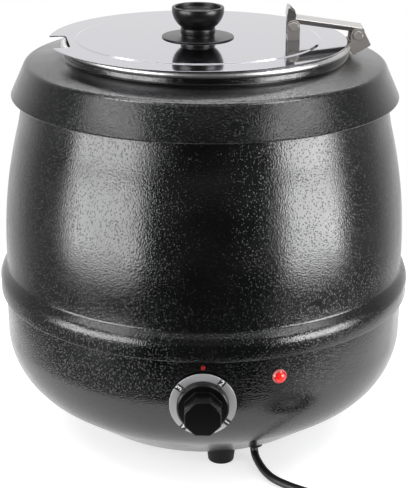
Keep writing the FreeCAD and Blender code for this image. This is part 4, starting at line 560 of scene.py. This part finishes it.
# Lid knob: bowl with a rim band and a shallow recess, on a ringed stem over a thin disc.
knob_x = -6
lid_grip = turned(
    "lid_grip",
    [
        (0, 332.9),
        (13.25, 332.9),
        (13.25, 335.3, 0.5),
        (13.9, 335.3, 0.3),
        (13.9, 339.9, 1.6),
        (13, 339.9),
        *arc(2.87, 355.02, 18, -55.6, -5.5, 14)[1:],
        (20.65, 356.3, 0.9),
        (18.05, 356.3, 0.8),
        (17.6, 352.3, 1),
        (0, 352.1),
    ],
    x=knob_x,
    steps=96,
)
stand_for(lid_grip, "lid_knob")
lid_disc = turned(
    "lid_grip_disc",
    [(2.2, 331.9), (28.75, 331.9, 0.3), (28.75, 332.9, 0.5), (2.2, 332.9)],
    x=knob_x,
    steps=96,
)
stand_for(lid_disc, "lid_knob_skirt")

# Hinge: bracket, folded arm, rim clip and their pins, with eased edges and rounded corners.
arm_corners = [(64.9, 358.3, 2.5), (71.17, 352.06, 1.5), (124.44, 341.92, 1.2)]
clip_corners = [(130.7, 328.9, 1.3), (117, 320.7, 1)]
for name, node, width, corners, finish in (
    ("lid_bracket", "lid_hinge_bracket", 0.25, [], tumbled),
    ("folded_arm", "hinge_arm", 0.25, arm_corners, None),
    ("bead_clip", "rim_clip", 0.25, clip_corners, tumbled),
    ("lid_pin", "lid_hinge_pin", 0.4, [], tumbled),
    ("bead_pin", "rim_hinge_pin", 0.4, [], tumbled),
    ("lid_rivets", "bracket_rivets", 0.4, [], tumbled),
):
    stand_for(softened(name, node, width, corners=corners), node, finish=finish)

# Control: eight-sided grip on its round base, and the dial behind it.
control = softened("control_grip", "control_knob", 0.5)
stand_for(control, "control_knob", finish=grip_black)
dial = softened("control_dial", "dial_plate", 0.25)
stand_for(dial, "dial_plate")


def printed(obj, name, clock, front, finish):
    """Lays flat artwork on the dial, its foot towards the middle and its front at a distance."""
    obj.name = name
    turn = Matrix.Rotation(math.radians(clock), 4, "Y")
    out = turn @ Vector((0, -front, 22.3))
    obj.matrix_world = (
        Matrix.Translation((out.x * MM, out.y * MM, (92 + out.z) * MM))
        @ turn
        @ Matrix.Rotation(math.radians(90), 4, "X")
    )
    alone(obj)
    bpy.ops.object.transform_apply(location=True, rotation=True, scale=True)
    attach(obj, "knob")
    dress(obj, "dial_metal", finish)


# Figures one to four, white in a small black field each.
for text, clock in (("1", 128), ("2", 38), ("3", -52), ("4", -142)):
    alone()
    bpy.ops.mesh.primitive_cube_add(size=MM)
    field = bpy.context.object
    for corner in field.data.vertices:
        corner.co = (corner.co.x * 5, corner.co.y * 5.3, corner.co.z * 0.06)
    printed(field, "dial_field_" + text, clock, 169.62, inks["black_ink"])
    alone()
    bpy.ops.object.text_add()
    figure = bpy.context.object
    figure.data.body = text
    figure.data.size = 6.4 * MM
    figure.data.align_x = "CENTER"
    figure.data.align_y = "CENTER"
    figure.data.extrude = 0.03 * MM
    figure.data.offset = 0.1 * MM
    bpy.ops.object.convert(target="MESH")
    printed(bpy.context.object, "dial_figure_" + text, clock, 169.69, inks["white_ink"])

# Feet, bushing and plug.
for number in (1, 2, 3):
    node = f"foot_{number}"
    stand_for(softened(f"rubber_foot_{number}", node, 0.8), node)
bushing = softened("cord_grommet", "cord_bushing", 0.4)
stand_for(bushing, "cord_bushing")
plug = softened("plug_body", "mains_plug", 1.2)
stand_for(plug, "mains_plug")
blades = softened("plug_blades", "plug_pins", 0.3)
stand_for(blades, "plug_pins")
tie = softened("coil_tie", "cord_tie", 0.3)
stand_for(tie, "cord_tie")

# The cord's tail inside the base, and the wires to thermostat, lamp, cut-out, earth and heater.
tail = flex(
    "cord_tail_inside",
    [
        [
            (*gland, 14),
            (*gland, 33.7),
            (52.22, -71.86, 39.2),
            (66.22, -55.86, 30.2),
            (77, -40, 21.2),
            (77, -24, 21.2),
        ]
    ],
    3.3,
)
stand_for(tail, "cord_tail")
wires = flex(
    "base_wires",
    [
        [
            (85, -24, 21.2),
            (85, -44, 21.2),
            (69, -86, 31.2),
            (31, -120, 38.2),
            (-6, -142.4, 52),
            (-6, -142.4, 70),
        ],
        [
            (89.5, -24, 21.2),
            (89.5, -44, 21.2),
            (73.5, -86, 31.2),
            (35.5, -120, 38.2),
            (0, -142.4, 52),
            (0, -142.4, 70),
        ],
        [
            (48.53, -133.34, 109.4),
            (46.14, -126.76, 109.4),
            (38.14, -130.4, 107.4),
            (29, -142.4, 105.4),
            (18, -142.4, 105.4),
        ],
        [
            (-40, 0, 40.2),
            (-40, 0, 26.2),
            (-6, 8, 22.7),
            (32, 5, 19.7),
            (58, 6, 21.2),
            (72, 6, 21.2),
        ],
        [(82, 36.5, 21), (82, 30, 21), (82, 24, 21)],
        [(73.21, -18.13, 34), (73.21, -18.13, 30), (73.21, -18.13, 27.2)],
        [(73.21, 18.13, 34), (73.21, 18.13, 30), (73.21, 18.13, 27.2)],
    ],
    1.2,
)
stand_for(wires, "inner_wires")

stand_for(cord, "mains_cord", "cord_coil", "plug_lead")



def looked_at(tree):
    """1 where a ray comes from the camera, or from metal or glass that mirrors what is behind."""
    ray = add(tree, "ShaderNodeLightPath").outputs
    mirror = add(
        tree,
        "ShaderNodeMath",
        {0: ray["Is Glossy Ray"], 1: ray["Is Transmission Ray"]},
        operation="MAXIMUM",
    )
    either = add(
        tree,
        "ShaderNodeMath",
        {0: ray["Is Camera Ray"], 1: mirror.outputs["Value"]},
        operation="MAXIMUM",
    )
    return either.outputs["Value"]


# Floor: white, kept bright to the camera but still shaded where the kettle stands.
alone()
bpy.ops.mesh.primitive_circle_add(vertices=96, radius=0.37, fill_type="NGON", location=(0.04, 0.05, 0))
floor = bpy.context.object
floor.name = "white_floor"
white = bpy.data.materials.new("white_sweep")
white.use_nodes = True
tree = white.node_tree
shader = tree.nodes["Principled BSDF"]
shader.inputs["Base Color"].default_value = paint("#cfcfcf")
shader.inputs["Roughness"].default_value = 0.9
shader.inputs["Specular IOR Level"].default_value = 0.0
shader.inputs["Emission Color"].default_value = paint("#ffffff")
shown = looked_at(tree)
lift = add(tree, "ShaderNodeMath", {0: shown, 1: 0.66}, operation="MULTIPLY")
tree.links.new(lift.outputs["Value"], shader.inputs["Emission Strength"])
floor.data.materials.append(white)

# World: white behind the kettle and dim on the camera's side, as in a studio; white all round to
# the camera itself.
world = bpy.data.worlds.new("studio")
bpy.context.scene.world = world
world.use_nodes = True
tree = world.node_tree
back = tree.nodes["Background"]
way = add(tree, "ShaderNodeTexCoord").outputs["Generated"]
parts = add(tree, "ShaderNodeSeparateXYZ", {"Vector": way})
behind = add(
    tree,
    "ShaderNodeMapRange",
    {"Value": parts.outputs["Y"], "From Min": 0.1, "From Max": 0.85, "To Min": 0.03, "To Max": 1.0},
    interpolation_type="SMOOTHSTEP",
)
across = add(tree, "ShaderNodeMath", {0: parts.outputs["X"]}, operation="ABSOLUTE")
beside = add(
    tree,
    "ShaderNodeMapRange",
    {"Value": across.outputs["Value"], "From Min": 0.35, "From Max": 0.95, "To Min": 0.0, "To Max": 0.3},
    interpolation_type="SMOOTHSTEP",
)
above = add(
    tree,
    "ShaderNodeMapRange",
    {"Value": parts.outputs["Z"], "From Min": 0.5, "From Max": 0.95, "To Min": 0.02, "To Max": 0.35},
    interpolation_type="SMOOTHSTEP",
)
rise = add(
    tree,
    "ShaderNodeMapRange",
    {"Value": parts.outputs["Z"], "From Min": 0.16, "From Max": 0.26, "To Min": 0.0, "To Max": 0.25},
    interpolation_type="SMOOTHSTEP",
)
fall = add(
    tree,
    "ShaderNodeMapRange",
    {"Value": parts.outputs["Z"], "From Min": 0.32, "From Max": 0.42, "To Min": 1.0, "To Max": 0.0},
    interpolation_type="SMOOTHSTEP",
)
around = add(
    tree,
    "ShaderNodeMath",
    {0: rise.outputs["Result"], 1: fall.outputs["Result"]},
    operation="MULTIPLY",
)
walls = add(
    tree,
    "ShaderNodeMath",
    {0: behind.outputs["Result"], 1: beside.outputs["Result"]},
    operation="MAXIMUM",
)
room = add(
    tree,
    "ShaderNodeMath",
    {0: walls.outputs["Value"], 1: around.outputs["Value"]},
    operation="MAXIMUM",
)
studio = add(
    tree,
    "ShaderNodeMath",
    {0: room.outputs["Value"], 1: above.outputs["Result"]},
    operation="MAXIMUM",
)
ray = add(tree, "ShaderNodeLightPath").outputs
level = add(
    tree,
    "ShaderNodeMath",
    {0: studio.outputs["Value"], 1: ray["Is Camera Ray"]},
    operation="MAXIMUM",
)
back.inputs["Color"].default_value = paint("#ffffff")
tree.links.new(level.outputs["Value"], back.inputs["Strength"])


def softbox(name, spot, size, power):
    """A rectangular lamp aimed at the kettle's middle."""
    alone()
    bpy.ops.object.light_add(type="AREA", location=spot)
    lamp = bpy.context.object
    lamp.name = name
    lamp.data.shape = "RECTANGLE"
    lamp.data.size, lamp.data.size_y = size
    lamp.data.energy = power
    aim = Vector((0, 0, 0.2)) - Vector(spot)
    lamp.rotation_euler = aim.to_track_quat("-Z", "Y").to_euler()
    return lamp


softbox("left_softbox", (-1.67, -1.1, 0.17), (1.68, 0.96), 40)
softbox("right_softbox", (1.78, -0.97, 0.18), (1.28, 0.94), 41)
softbox("left_collar_lamp", (-1.5, -0.95, 1.33), (1.3, 0.4), 7)
softbox("right_collar_lamp", (1.5, -0.95, 1.33), (1.3, 0.4), 7)
softbox("left_ceiling_lamp", (-1.15, -0.55, 1.9), (0.8, 0.7), 16)
softbox("right_ceiling_lamp", (1.15, -0.55, 1.9), (0.8, 0.7), 16)
softbox("top_softbox", (0, 0.3, 2.2), (1.8, 1.0), 24)
softbox("front_strip", (0, -1.2, 1.7), (1.8, 0.06), 2)
softbox("back_strip", (0.1, 1.5, 1.6), (2.4, 0.12), 7)

# The polished lid mirrors the studio's walls, and not the lamps at the sides, which would burn it out.
off_the_lid = bpy.data.collections.new("off_the_lid")
off_the_lid.objects.link(lid)
off_the_lid.collection_objects[0].light_linking.link_state = "EXCLUDE"
for side in ("left", "right"):
    for kind in ("softbox", "collar_lamp", "ceiling_lamp"):
        bpy.data.objects[f"{side}_{kind}"].light_linking.receiver_collection = off_the_lid
